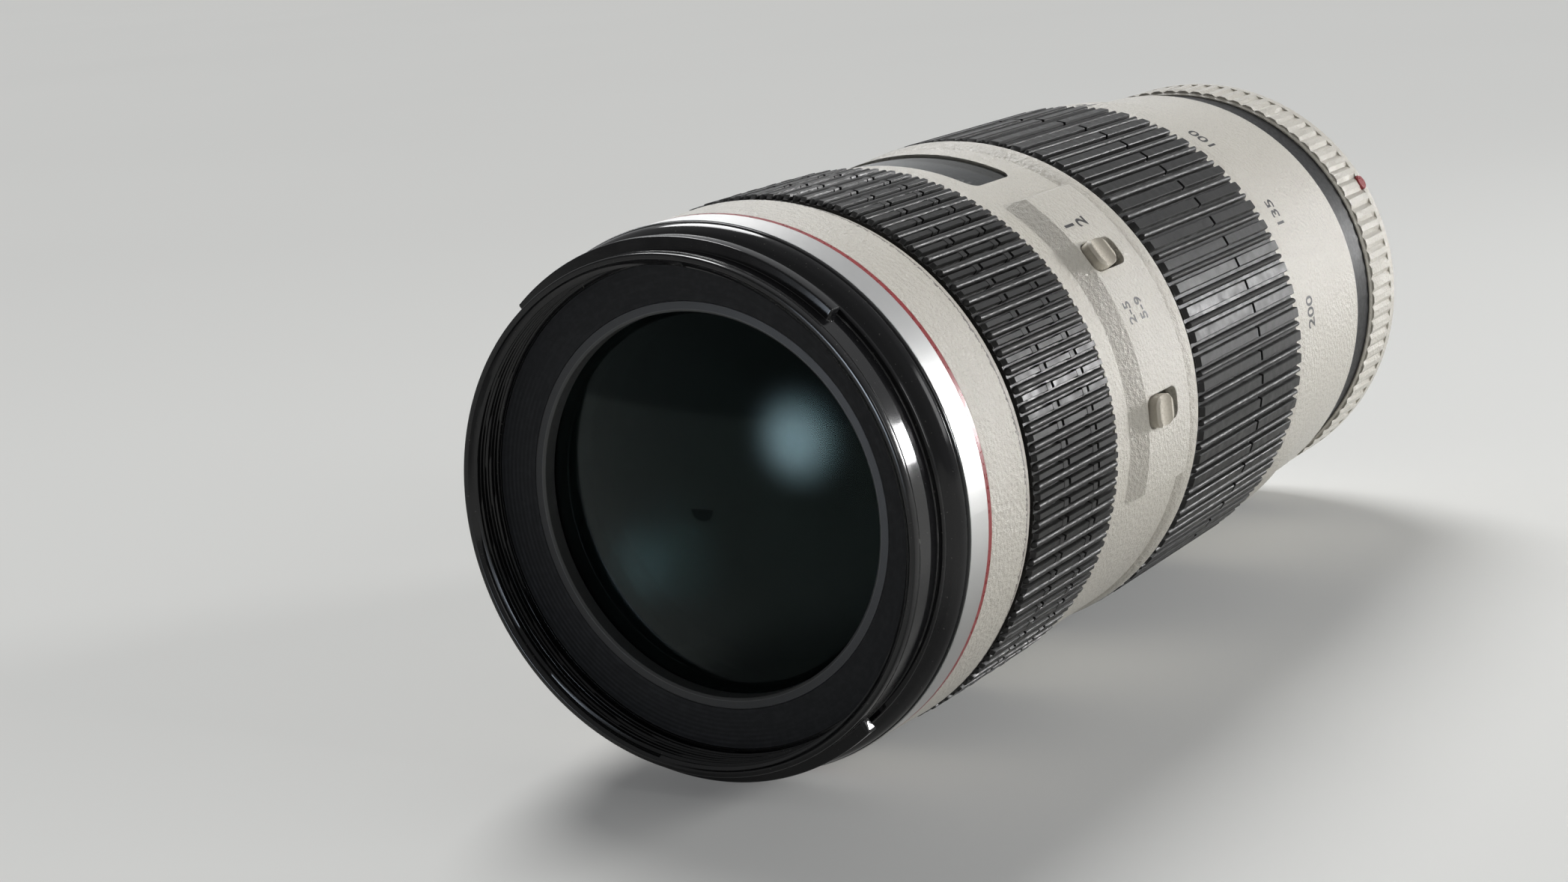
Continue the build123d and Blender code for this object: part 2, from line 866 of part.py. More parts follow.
def make_pair(radius, start, end, sag_shares):
    """Two glass elements that share a cell, with an air space between them."""
    middle = (start + end) / 2
    (first_front, first_rear), (second_front, second_rear) = sag_shares
    first = lens_element(
        radius, start, middle - push_fit, radius * first_front, radius * first_rear
    )
    second = lens_element(
        radius, middle + push_fit, end, radius * second_front, radius * second_rear
    )
    return Compound([first, second])


def make_body_shell():
    """White body with the distance window and the raised switch panel."""
    shell = tube(shell_bore_radius, body_radius, body_start, body_end)
    corners = [
        at(shell_bore_radius, panel_start),
        at(body_radius - edge_break, panel_start),
        at(panel_radius, panel_start + panel_front_slope),
        at(panel_radius, body_end - panel_rear_slope),
        at(body_radius - edge_break, body_end),
        at(shell_bore_radius, body_end),
    ]
    pad = revolve(make_face(Polyline(*corners, close=True)), Axis.Y, 2 * panel_half_angle)
    pad = chamfer(pad.edges().filter_by(Axis.Y).group_by(SortBy.LENGTH)[0], panel_end_slope)
    shell += swung(panel_centre_angle + panel_half_angle, pad)
    window = extrude(
        Plane.XY * Pos(0, window_centre_station - overall_length)
        * RectangleRounded(window_width, window_length, window_corner_radius),
        body_radius + overrun,
    )
    shell -= window
    for angle in (af_switch_angle, limiter_switch_angle):
        slot_place = Plane.YZ.offset(shell_bore_radius) * Pos(
            switch_slot_start + switch_slot_length / 2 - overall_length, 0
        )
        slot = extrude(
            slot_place
            * RectangleRounded(switch_slot_length, switch_slot_width, switch_corner_radius),
            panel_radius + overrun - shell_bore_radius,
        )
        pocket = radial_block(
            pocket_width, shell_bore_radius - overrun, pocket_roof_radius, pocket_start, pocket_end
        )
        shell -= swung(angle, slot)
        shell -= swung(angle, pocket)
    return shell


def make_window_pane():
    """Clear pane that follows the barrel in the window opening."""
    outside = body_radius - pane_recess
    strip = tube(outside - pane_thickness, outside, body_start, body_end)
    outline = RectangleRounded(
        window_width - 2 * push_fit, window_length - 2 * push_fit, window_corner_radius - push_fit
    )
    place = Plane.XY * Pos(0, window_centre_station - overall_length)
    return strip & extrude(place * outline, body_radius + overrun)


def make_switch_knob():
    """Slide switch: knob with a thumb dish above the slot, wider base below it."""
    knob_start = switch_slot_start + end_play
    knob_end = knob_start + switch_knob_length
    knob_middle = (knob_start + knob_end) / 2
    top = panel_radius + switch_knob_rise
    base_outer = pocket_roof_radius - end_play
    place = Plane.YZ.offset(base_outer) * Pos(knob_middle - overall_length, 0)
    outline = RectangleRounded(switch_knob_length, switch_knob_width, switch_corner_radius)
    knob = extrude(place * outline, top - base_outer)
    knob = chamfer(knob.faces().sort_by(Axis.X)[-1].edges(), switch_knob_bevel)
    dish_radius = (switch_dish_length ** 2 / 4 + switch_dish_depth ** 2) / (2 * switch_dish_depth)
    dish_place = Pos(top - switch_dish_depth + dish_radius, knob_middle - overall_length, 0)
    knob -= dish_place * Cylinder(dish_radius, switch_knob_width + overrun)
    base = radial_block(
        switch_base_width,
        base_outer - switch_base_thickness,
        base_outer,
        knob_middle - switch_base_length / 2,
        knob_middle + switch_base_length / 2,
    )
    return knob + base


def make_switch_boards():
    """Contact boards that close the two switch pockets from inside."""
    board = radial_block(
        pocket_width - 2 * push_fit,
        board_seat_radius - board_thickness,
        board_seat_radius,
        pocket_start + push_fit,
        pocket_end - push_fit,
    )
    return Compound([swung(angle, board) for angle in (af_switch_angle, limiter_switch_angle)])


def make_bead_ring():
    """White rounded ring between the body and the zoom ring."""
    peak = bead_start + bead_peak_share * (bead_end - bead_start)
    rise = bead_radius - bead_foot_radius
    run_share, rise_share = bead_front_shares
    front = ThreePointArc(
        at(bead_foot_radius, bead_start),
        at(bead_foot_radius + rise_share * rise, bead_start + run_share * (peak - bead_start)),
        at(bead_radius, peak),
    )
    run_share, rise_share = bead_rear_shares
    rear = ThreePointArc(
        at(bead_radius, peak),
        at(bead_foot_radius + rise_share * rise, peak + run_share * (bead_end - peak)),
        at(bead_foot_radius, bead_end),
    )
    foot = Polyline(
        at(bead_foot_radius, bead_end),
        at(shell_bore_radius, bead_end),
        at(shell_bore_radius, bead_start),
        at(bead_foot_radius, bead_start),
    )
    return revolve(make_face(front + rear + foot), Axis.Y)


def make_zoom_sleeve():
    """Metal sleeve of the zoom ring with the white focal length band."""
    return turned(
        (sleeve_bore_radius, zoom_grip_start),
        (sleeve_radius, zoom_grip_start),
        (sleeve_radius, zoom_grip_end),
        (scale_band_radius - edge_break, zoom_grip_end),
        (scale_band_radius, zoom_grip_end + scale_band_slope),
        (scale_band_radius, zoom_ring_end),
        (sleeve_bore_radius, zoom_ring_end),
    )


def make_zoom_grip():
    """Rubber grip of the zoom ring."""
    shares = (zoom_flat_share, zoom_round_share, zoom_gap_share)
    tops = (grip_radius, grip_radius - round_rib_drop)
    return ribbed(
        sleeve_radius + push_fit, zoom_grip_start, zoom_grip_end, zoom_rib_count, shares, tops
    )


def make_zoom_key():
    """Key that carries the turn of the zoom sleeve to the cam tube."""
    block = radial_block(
        key_width, guide_radius, sleeve_radius, key_start, key_start + key_length
    )
    reach = tube(cam_radius + push_fit, sleeve_bore_radius - push_fit, key_start, key_start + key_length)
    return swung(key_angle, block & reach)


def make_cam_tube():
    """Cam tube with three long and three short helical slots."""
    body = tube(cam_bore_radius, cam_radius, cam_start, cam_end)
    width = follower_slot_width
    inner = cam_bore_radius - overrun
    outer = cam_radius + overrun
    long_slot = helical_slot(
        width, inner, outer, variator_follower_station, variator_travel, zoom_turn, True
    )
    for cutter in long_slot:
        body -= around(follower_count, follower_angle, cutter)
    short_slot = helical_slot(
        width,
        inner,
        outer,
        compensator_follower_station - compensator_travel,
        compensator_travel,
        zoom_turn,
        False,
    )
    for cutter in short_slot:
        body -= around(follower_count, compensator_angle - zoom_turn, cutter)
    return body


def make_guide_tube():
    """Fixed tube with straight slots that keep the zoom groups from turning."""
    web_end = guide_start + guide_flange_thickness
    body = turned(
        (guide_bore_radius, guide_start),
        (nose_bore_radius - push_fit, guide_start),
        (nose_bore_radius - push_fit, web_end),
        (guide_radius, web_end),
        (guide_radius, guide_end - rear_web_thickness),
        (main_tube_bore_radius - push_fit, guide_end - rear_web_thickness),
        (main_tube_bore_radius - push_fit, guide_end),
        (guide_bore_radius, guide_end),
    )
    width = follower_slot_width
    runs = (
        (variator_follower_station, variator_follower_station + variator_travel, follower_angle),
        (
            compensator_follower_station - compensator_travel,
            compensator_follower_station,
            compensator_angle,
        ),
    )
    for front, rear, angle in runs:
        slot = radial_slot(
            width,
            guide_bore_radius - overrun,
            guide_radius + overrun,
            front - width / 2,
            rear + width / 2,
        )
        body -= around(follower_count, angle, slot)
    return body


def make_iris_housing():
    """Iris cup with the fixed pivots of the blades."""
    plate_end = guide_end + iris_plate_thickness
    wall_radius = iris_wall_bore_radius + iris_wall
    cup = turned(
        (iris_bore_radius, guide_end),
        (wall_radius, guide_end),
        (wall_radius, iris_end),
        (iris_wall_bore_radius, iris_end),
        (iris_wall_bore_radius, plate_end),
        (iris_bore_radius, plate_end),
    )
    stack_end = guide_end + drive_ring_inset
    pivot = axial_pin(pivot_radius, pivot_circle_radius, plate_end - edge_break, stack_end)
    cup += around(blade_count, 0, pivot)
    return cup


def make_iris_blade(index):
    """One blade in its own flat layer: crescent, pivot hole and drive peg."""
    layer = guide_end + iris_plate_thickness + blade_first_layer + index * blade_layer_pitch
    crescent = make_face(
        CenterArc((0, 0), blade_outer_radius, blade_arc_start, blade_arc_end - blade_arc_start)
        + Line(polar(blade_outer_radius, blade_arc_end), polar(blade_inner_radius, blade_arc_end))
        + CenterArc((0, 0), blade_inner_radius, blade_arc_end, blade_arc_start - blade_arc_end)
        + Line(polar(blade_inner_radius, blade_arc_start), polar(blade_outer_radius, blade_arc_start))
    )
    tab_foot = blade_outer_radius - pivot_circle_radius
    tab_length = peg_arm - tab_foot
    tab = (
        Pos(pivot_circle_radius, 0)
        * Rot(0, 0, peg_start_angle)
        * Pos((tab_foot + peg_arm) / 2, 0)
        * SlotOverall(tab_length + blade_tab_width, blade_tab_width)
    )
    outline = crescent + tab - Pos(pivot_circle_radius, 0) * Circle(pivot_radius + pivot_fit)
    plane = Plane(origin=(0, layer - overall_length, 0), x_dir=(1, 0, 0), z_dir=(0, 1, 0))
    blade = extrude(plane * outline, blade_thickness)
    peg_place = (
        pivot_circle_radius + peg_arm * cos(radians(peg_start_angle)),
        peg_arm * sin(radians(peg_start_angle)),
    )
    peg_end = guide_end + drive_ring_inset + drive_ring_thickness
    peg = extrude(plane * Pos(*peg_place) * Circle(peg_radius), peg_end - layer)
    return swung(-360 / blade_count * index, blade + peg)


def make_iris_drive_ring():
    """Thin ring with a radial slot for the peg of each blade."""
    start = guide_end + drive_ring_inset
    plane = Plane(origin=(0, start - overall_length, 0), x_dir=(1, 0, 0), z_dir=(0, 1, 0))
    ring = Circle(iris_wall_bore_radius - running_fit) - Circle(drive_ring_bore_radius)
    inner_peg = sqrt(
        pivot_circle_radius ** 2 + peg_arm ** 2
        + 2 * pivot_circle_radius * peg_arm * cos(radians(peg_start_angle))
    )
    outer_peg = pivot_circle_radius + peg_arm
    slot_width = 2 * (peg_radius + peg_slot_fit)
    slot = SlotOverall(slot_width + outer_peg - inner_peg + 2 * peg_slot_fit, slot_width)
    for index in range(blade_count):
        turn = Rot(0, 0, 360 / blade_count * index - drive_ring_turn / 2)
        ring -= turn * Pos((inner_peg + outer_peg) / 2, 0) * slot
    return extrude(plane * ring, drive_ring_thickness)


def make_rear_cell():
    """Fixed cell of the rear group, seated on the iris housing."""
    flange_end = iris_end + rear_flange_thickness
    end = iris_end + rear_cell_length
    return turned(
        (rear_glass_radius - cell_lip, iris_end),
        (iris_wall_bore_radius + iris_wall, iris_end),
        (iris_wall_bore_radius + iris_wall, flange_end),
        (rear_cell_radius, flange_end),
        (rear_cell_radius, end),
        (rear_glass_radius + push_fit, end),
        (rear_glass_radius + push_fit, flange_end),
        (rear_glass_radius - cell_lip, flange_end),
    )


def make_rear_barrel():
    """Smooth white barrel that a tripod collar clamps on."""
    return turned(
        (shell_bore_radius, seat_start),
        (collar_seat_radius, seat_start),
        (collar_seat_radius, seat_end - edge_break),
        (collar_seat_radius - edge_break, seat_end),
        (shell_bore_radius, seat_end),
    )


def make_rear_tube():
    """Black tube behind the collar seat, with the web for the mount plate."""
    spigot_start = main_tube_end - spigot_length
    step_start = seat_end - rear_tube_wall
    web_start = flange_start - rear_inner_flange_thickness
    body = turned(
        (spigot_bore_radius, spigot_start),
        (spigot_radius, spigot_start),
        (spigot_radius, main_tube_end),
        (main_tube_radius, main_tube_end),
        (main_tube_radius, seat_end),
        (rear_tube_radius, seat_end),
        (rear_tube_radius, flange_start),
        (rear_web_bore_radius, flange_start),
        (rear_web_bore_radius, web_start),
        (rear_tube_radius - rear_tube_wall, web_start),
        (rear_tube_radius - rear_tube_wall, board_ledge_start),
        (board_ledge_radius, board_ledge_start),
        (board_ledge_radius, step_start),
        (spigot_bore_radius, step_start),
    )
    hole = axial_pin(
        screw_shank_radius, mount_screw_circle_radius, web_start - overrun, flange_start + overrun
    )
    return body - around(mount_screw_count, mount_screw_angle, hole)


def make_mount_ring():
    """White ring with fine knurling behind the black groove."""
    bore = rear_tube_radius + push_fit
    knurl_start = mount_ring_start + knurl_inset
    rear_start = mount_ring_end - mount_ring_rear_thickness
    body = turned(
        (bore, mount_ring_start),
        (mount_ring_radius - knurl_depth - edge_break, mount_ring_start),
        (mount_ring_radius - knurl_depth, knurl_start),
        (mount_ring_radius - knurl_depth, knurl_start + knurl_length),
        (mount_ring_radius, knurl_start + knurl_length),
        (mount_ring_radius, mount_ring_end - edge_break),
        (mount_ring_radius - edge_break, mount_ring_end),
        (flange_radius + push_fit, mount_ring_end),
        (flange_radius + push_fit, rear_start),
        (bore, rear_start),
    )
    corners = []
    for index in range(knurl_count):
        corners.append(polar(mount_ring_radius - knurl_depth, 360 / knurl_count * index))
        for share in knurl_tip_shares:
            corners.append(polar(mount_ring_radius, 360 / knurl_count * (index + share)))
    plane = Plane(origin=(0, knurl_start - overall_length, 0), x_dir=(1, 0, 0), z_dir=(0, 1, 0))
    core = Circle(mount_ring_radius - knurl_depth - edge_break)
    teeth = extrude(plane * (make_face(Polyline(*corners, close=True)) - core), knurl_length)
    pocket = radial_pin(
        index_dot_radius + push_fit,
        mount_ring_radius - index_dot_depth,
        mount_ring_radius + overrun,
        mount_ring_end - index_dot_inset,
    )
    return body + teeth - swung(index_dot_angle, pocket)


def make_index_dot():
    """Raised red dot that shows where the lens meets the camera's index."""
    dot = radial_pin(
        index_dot_radius,
        mount_ring_radius - index_dot_depth,
        mount_ring_radius + index_dot_rise,
        mount_ring_end - index_dot_inset,
    )
    dot = chamfer(dot.faces().sort_by(Axis.X)[-1].edges(), index_dot_bevel)
    return swung(index_dot_angle, dot)


def make_mount_plate():
    """Metal bayonet: flange, throat and three claws, with screw and lock holes."""
    throat_end = overall_length + throat_length
    plate = turned(
        (throat_bore_radius, flange_start),
        (flange_radius, flange_start),
        (flange_radius, overall_length),
        (throat_radius, overall_length),
        (throat_radius, throat_end),
        (throat_bore_radius, throat_end),
    )
    claw_start = overall_length + claw_gap
    for index in range(claw_count):
        centre = claw_angle + 360 / claw_count * index
        plate += wedge(
            throat_radius - edge_break,
            claw_radius,
            claw_start,
            claw_start + claw_thickness,
            centre - claw_arc / 2,
            centre + claw_arc / 2,
        )
    head = axial_pin(
        screw_head_radius + push_fit,
        mount_screw_circle_radius,
        overall_length - screw_head_height,
        overall_length + overrun,
    )
    shank = axial_pin(
        screw_shank_radius + push_fit,
        mount_screw_circle_radius,
        flange_start - overrun,
        overall_length + overrun,
    )
    plate -= around(mount_screw_count, mount_screw_angle, head)
    plate -= around(mount_screw_count, mount_screw_angle, shank)
    lock_hole = axial_pin(
        lock_hole_radius, mount_screw_circle_radius, flange_start - overrun, overall_length + overrun
    )
    return plate - swung(lock_hole_angle, lock_hole)


def make_mount_screws():
    """Four screws that hold the mount plate on the rear tube."""
    head = axial_pin(
        screw_head_radius,
        mount_screw_circle_radius,
        overall_length - screw_head_height,
        overall_length,
    )
    shank = axial_pin(
        screw_shank_radius - push_fit,
        mount_screw_circle_radius,
        overall_length - screw_length,
        overall_length - screw_head_height,
    )
    return Compound(around(mount_screw_count, mount_screw_angle, head + shank))


def make_mount_baffle():
    """Black light trap inside the mount."""
    outside = throat_bore_radius - end_play
    flange_front = flange_start - baffle_flange_thickness
    return turned(
        (baffle_bore_radius, baffle_start),
        (baffle_bore_radius + baffle_wall, baffle_start),
        (baffle_bore_radius + baffle_wall, flange_front),
        (rear_web_bore_radius - push_fit, flange_front),
        (rear_web_bore_radius - push_fit, flange_start),
        (outside - baffle_wall, flange_start),
        (baffle_bore_radius, flange_start),
    )


def make_contact_block():
    """Plastic block that carries the electrical contacts."""
    block = wedge(
        contact_inner_radius,
        throat_bore_radius - push_fit,
        flange_start,
        flange_start + contact_block_length,
        -90 - contact_arc / 2,
        -90 + contact_arc / 2,
    )
    for angle in contact_angles():
        hole = axial_pin(
            contact_pin_radius + push_fit,
            contact_pin_circle_radius,
            flange_start + contact_pin_root,
            flange_start + contact_block_length + overrun,
        )
        block -= swung(angle, hole)
    return block


def contact_angles():
    """Angles of the contact pins about the optical axis."""
    step = contact_pin_spread / (contact_pin_count - 1)
    return [-90 - contact_pin_spread / 2 + step * index for index in range(contact_pin_count)]


def make_contact_pins():
    """Gold contact pins."""
    pin = axial_pin(
        contact_pin_radius,
        contact_pin_circle_radius,
        flange_start + contact_pin_root,
        flange_start + contact_block_length + contact_pin_rise,
    )
    return Compound([swung(angle, pin) for angle in contact_angles()])


def make_main_board():
    """Open ring of circuit board seated on the ledge of the rear tube."""
    return wedge(
        main_board_bore_radius,
        board_ledge_radius - push_fit,
        board_ledge_start - main_board_thickness,
        board_ledge_start,
        -90 + main_board_gap_arc / 2,
        270 - main_board_gap_arc / 2,
    )


drive_ring_turn = 2 * degrees(
    asin(peg_arm * sin(radians(blade_swing / 2)) / sqrt(
        pivot_circle_radius ** 2 + peg_arm ** 2
        + 2 * pivot_circle_radius * peg_arm * cos(radians(blade_swing / 2))
    ))
)

parts = {
    "filter_ring": make_filter_ring(),
    "name_ring": make_name_ring(),
    "red_ring": make_red_ring(),
    "front_barrel": make_front_barrel(),
    "front_cell": make_front_cell(),
    "front_retainer": make_front_retainer(),
    "front_glass": make_front_glass(),
    "main_tube": make_main_tube(),
    "focus_housing": make_focus_housing(),
    "usm_stator": make_usm_stator(),
    "usm_rotor": make_usm_rotor(),
    "focus_sleeve": make_focus_sleeve(),
    "focus_grip": make_focus_grip(),
    "focus_cam": make_focus_cam(),
    "distance_scale": make_distance_scale(),
    "body_shell": make_body_shell(),
    "window_pane": make_window_pane(),
    "switch_boards": make_switch_boards(),
    "af_switch": swung(af_switch_angle, make_switch_knob()),
    "limiter_switch": swung(limiter_switch_angle, make_switch_knob()),
    "bead_ring": make_bead_ring(),
    "zoom_sleeve": make_zoom_sleeve(),
    "zoom_grip": make_zoom_grip(),
    "zoom_key": make_zoom_key(),
    "cam_tube": make_cam_tube(),
    "guide_tube": make_guide_tube(),
    "iris_housing": make_iris_housing(),
    "iris_drive_ring": make_iris_drive_ring(),
    "rear_cell": make_rear_cell(),
    "rear_barrel": make_rear_barrel(),
    "rear_tube": make_rear_tube(),
    "mount_ring": make_mount_ring(),
    "index_dot": make_index_dot(),
    "mount_plate": make_mount_plate(),
    "mount_screws": make_mount_screws(),
    "mount_baffle": make_mount_baffle(),
    "contact_block": make_contact_block(),
    "contact_pins": make_contact_pins(),
    "main_board": make_main_board(),
}
for number, roller in enumerate(around(roller_count, roller_angle - output_turn, make_roller()), 1):
    parts[f"focus_roller_{number}"] = roller
for number in range(blade_count):
    parts[f"iris_blade_{number + 1}"] = make_iris_blade(number)

focus_glass_start = focus_cell_start + cell_lip
focus_glass_end = focus_cell_start + focus_cell_length - cell_lip
parts["focus_cell"] = make_cell(
    focus_cell_start,
    focus_cell_length,
    focus_glass_radius,
    focus_slide_radius,
    focus_follower_station,
    follower_angle,
)
parts["focus_followers"] = make_followers(
    focus_slide_radius, output_radius, focus_follower_station, follower_angle
)
parts["focus_glass"] = make_pair(
    focus_glass_radius, focus_glass_start, focus_glass_end, focus_sag_shares
)
parts["variator_cell"] = make_cell(
    variator_start,
    variator_length,
    variator_glass_radius,
    slide_radius,
    variator_follower_station,
    follower_angle,
)
parts["variator_followers"] = make_followers(
    slide_radius, cam_radius, variator_follower_station, follower_angle
)
parts["variator_glass"] = make_pair(
    variator_glass_radius,
    variator_start + cell_lip,
    variator_start + variator_length - cell_lip,
    variator_sag_shares,
)
parts["compensator_cell"] = make_cell(
    compensator_start,
    compensator_length,
    compensator_glass_radius,
    slide_radius,
    compensator_follower_station,
    compensator_angle,
)
parts["compensator_followers"] = make_followers(
    slide_radius, cam_radius, compensator_follower_station, compensator_angle
)
parts["compensator_glass"] = make_pair(
    compensator_glass_radius,
    compensator_start + cell_lip,
    compensator_start + compensator_length - cell_lip,
    compensator_sag_shares,
)
parts["rear_glass"] = make_pair(
    rear_glass_radius,
    iris_end + rear_flange_thickness,
    iris_end + rear_cell_length - cell_lip,
    rear_sag_shares,
)

os.makedirs("parts", exist_ok=True)
for name, shape in parts.items():
    shape.label = name
    export_step(shape, f"parts/{name}.step")
print(len(parts), "parts written, drive ring turn", round(drive_ring_turn, 3))
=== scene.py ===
import math

import bmesh
import bpy
from mathutils import Matrix, Vector


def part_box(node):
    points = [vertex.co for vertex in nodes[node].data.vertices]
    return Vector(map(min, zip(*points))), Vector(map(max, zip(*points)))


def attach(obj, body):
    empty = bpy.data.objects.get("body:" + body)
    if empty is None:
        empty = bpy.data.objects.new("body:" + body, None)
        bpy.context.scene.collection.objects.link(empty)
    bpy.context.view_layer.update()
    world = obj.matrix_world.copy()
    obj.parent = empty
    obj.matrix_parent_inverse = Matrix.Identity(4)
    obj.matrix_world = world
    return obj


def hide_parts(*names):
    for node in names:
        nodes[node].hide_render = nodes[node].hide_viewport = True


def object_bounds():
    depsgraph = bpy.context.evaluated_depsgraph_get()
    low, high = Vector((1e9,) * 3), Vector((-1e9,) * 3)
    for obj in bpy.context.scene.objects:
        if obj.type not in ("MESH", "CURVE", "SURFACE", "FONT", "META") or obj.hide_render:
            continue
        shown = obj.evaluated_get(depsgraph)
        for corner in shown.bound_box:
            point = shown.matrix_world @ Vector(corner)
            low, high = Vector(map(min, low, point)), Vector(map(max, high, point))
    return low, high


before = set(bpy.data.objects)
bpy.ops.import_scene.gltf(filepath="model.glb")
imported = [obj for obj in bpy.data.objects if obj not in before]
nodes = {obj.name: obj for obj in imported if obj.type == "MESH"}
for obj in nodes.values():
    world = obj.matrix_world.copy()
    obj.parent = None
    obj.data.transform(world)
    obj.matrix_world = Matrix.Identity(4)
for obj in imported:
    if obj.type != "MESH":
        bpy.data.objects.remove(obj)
cad_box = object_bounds()


# Table, lamps and camera.
# The lens lies on its two rubber grips on a plain pale table top. A wide soft light
# stands above and behind it, with small lamps behind its right side and beside it,
# and a small faint one in front that shows only as a glow in the glass.
lens_middle = Vector((0, -0.105, 0))
table_colour = (0.66, 0.66, 0.64)
table_reach = 6.0
table_glow = 0.14
cloud_size = 1 / 3
room_colour = (0.80, 0.81, 0.82, 1)
# Strength of the room ahead of the lens and behind it, as it lights and as it shows.
room_light = (0.03, 0.30)
room_seen = (0.30, 0.64)


def wire(tree, kind, inputs=(), **settings):
    """Adds a shader node, sets it up and links or fills its inputs by name or number."""
    node = tree.nodes.new(kind)
    for name, value in settings.items():
        setattr(node, name, value)
    for name, value in dict(inputs).items():
        if isinstance(value, bpy.types.NodeSocket):
            tree.links.new(value, node.inputs[name])
        else:
            node.inputs[name].default_value = value
    return node


def reckon(tree, operation, *values):
    """The result of one sum on sockets or numbers."""
    return wire(tree, "ShaderNodeMath", dict(enumerate(values)), operation=operation).outputs[0]


def new_finish(name, colour, roughness, metallic=0.0, specular=0.5):
    """A material whose constant values sit on its shader, with the place on the part."""
    finish = bpy.data.materials.new(name)
    finish.use_nodes = True
    shader = finish.node_tree.nodes["Principled BSDF"]
    shader.inputs["Base Color"].default_value = (*colour, 1)
    shader.inputs["Roughness"].default_value = roughness
    shader.inputs["Metallic"].default_value = metallic
    shader.inputs["Specular IOR Level"].default_value = specular
    place = wire(finish.node_tree, "ShaderNodeTexCoord").outputs["Object"]
    return finish, finish.node_tree, shader, place


def grain(tree, place, size, detail=2.0):
    """Noise whose lumps are about size across."""
    inputs = {"Vector": place, "Scale": 1 / size, "Detail": detail}
    return wire(tree, "ShaderNodeTexNoise", inputs).outputs["Fac"]


def tinted(colour, share):
    """A colour made darker or lighter by a share."""
    return tuple(share * part for part in colour)


def shade(tree, shader, factor, first, second):
    """Base colour between two near shades, by a factor."""
    inputs = {"Factor": factor, "A": (*first, 1), "B": (*second, 1)}
    mix = wire(tree, "ShaderNodeMix", inputs, data_type="RGBA")
    tree.links.new(mix.outputs["Result"], shader.inputs["Base Color"])


def new_piece(name, build):
    """A mesh object whose mesh is made by build, which fills a bmesh."""
    mesh = bpy.data.meshes.new(name)
    work = bmesh.new()
    build(work)
    bmesh.ops.recalc_face_normals(work, faces=work.faces)
    work.to_mesh(mesh)
    work.free()
    piece = bpy.data.objects.new(name, mesh)
    bpy.context.scene.collection.objects.link(piece)
    return piece


def table_top(work):
    """One square sheet at the height of the lens's lowest ribs."""
    reach = table_reach
    corners = ((-reach, -reach), (reach, -reach), (reach, reach), (-reach, reach))
    work.faces.new([work.verts.new((x, y, cad_box[0].z)) for x, y in corners])


table_paint, tree, shader, place = new_finish("table_paint", table_colour, 0.9, specular=0.0)
shade(tree, shader, grain(tree, place, cloud_size), table_colour, tinted(table_colour, 0.96))
ray = wire(tree, "ShaderNodeLightPath")
seen = reckon(tree, "MAXIMUM", ray.outputs["Is Camera Ray"], ray.outputs["Is Glossy Ray"])
shader.inputs["Emission Color"].default_value = room_colour
tree.links.new(reckon(tree, "MULTIPLY", seen, table_glow), shader.inputs["Emission Strength"])
table = new_piece("table_top", table_top)
table.data.materials.append(table_paint)

room = bpy.data.worlds.new("room")
bpy.context.scene.world = room
room.use_nodes = True
tree = room.node_tree
tree.nodes.clear()
ray = wire(tree, "ShaderNodeLightPath")
seen = reckon(tree, "MAXIMUM", ray.outputs["Is Camera Ray"], ray.outputs["Is Transmission Ray"])
seen = reckon(tree, "MAXIMUM", seen, ray.outputs["Is Glossy Ray"])
direction = wire(tree, "ShaderNodeTexCoord").outputs["Generated"]
behind = wire(tree, "ShaderNodeSeparateXYZ", {0: direction}).outputs["Y"]
halves = []
for ahead_share, behind_share in (room_light, room_seen):
    graded = {"Value": behind, "From Min": -1.0, "From Max": 1.0,
              "To Min": ahead_share, "To Max": behind_share}
    level = wire(tree, "ShaderNodeMapRange", graded).outputs["Result"]
    half = wire(tree, "ShaderNodeBackground", {"Color": room_colour, "Strength": level})
    halves.append(half.outputs[0])
both = wire(tree, "ShaderNodeMixShader", {0: seen, 1: halves[0], 2: halves[1]})
wire(tree, "ShaderNodeOutputWorld", {"Surface": both.outputs[0]})


def soft_lamp(name, offset, width, height, watts, fan=180):
    """A rectangular lamp at an offset from the lens's middle, turned towards it."""
    light = bpy.data.lights.new(name, "AREA")
    light.shape = "RECTANGLE"
    light.size, light.size_y, light.energy = width, height, watts
    light.spread = math.radians(fan)
    lamp = bpy.data.objects.new(name, light)
    lamp.location = lens_middle + Vector(offset)
    lamp.rotation_euler = Vector(offset).to_track_quat("Z", "Y").to_euler()
    bpy.context.scene.collection.objects.link(lamp)
    return lamp


def hot_centre(light, falloff, colour):
    """Fades a lamp from a bright centre to a dim edge, as a bulb behind a diffuser does."""
    light.use_nodes = True
    tree = light.node_tree
    tree.nodes.clear()
    across = wire(tree, "ShaderNodeNewGeometry").outputs["Parametric"]
    middle = (0.5, 0.5, 0.0)
    away = wire(tree, "ShaderNodeVectorMath", {0: across, 1: middle}, operation="DISTANCE").outputs["Value"]
    fading = {"Value": away, "From Min": 0.0, "From Max": 0.5, "To Min": 1.0, "To Max": 0.0}
    glow = wire(tree, "ShaderNodeMapRange", fading, interpolation_type="SMOOTHERSTEP").outputs["Result"]
    strength = reckon(tree, "POWER", glow, falloff)
    bulb = wire(tree, "ShaderNodeEmission", {"Strength": strength, "Color": colour})
    wire(tree, "ShaderNodeOutputLight", {"Surface": bulb.outputs[0]})


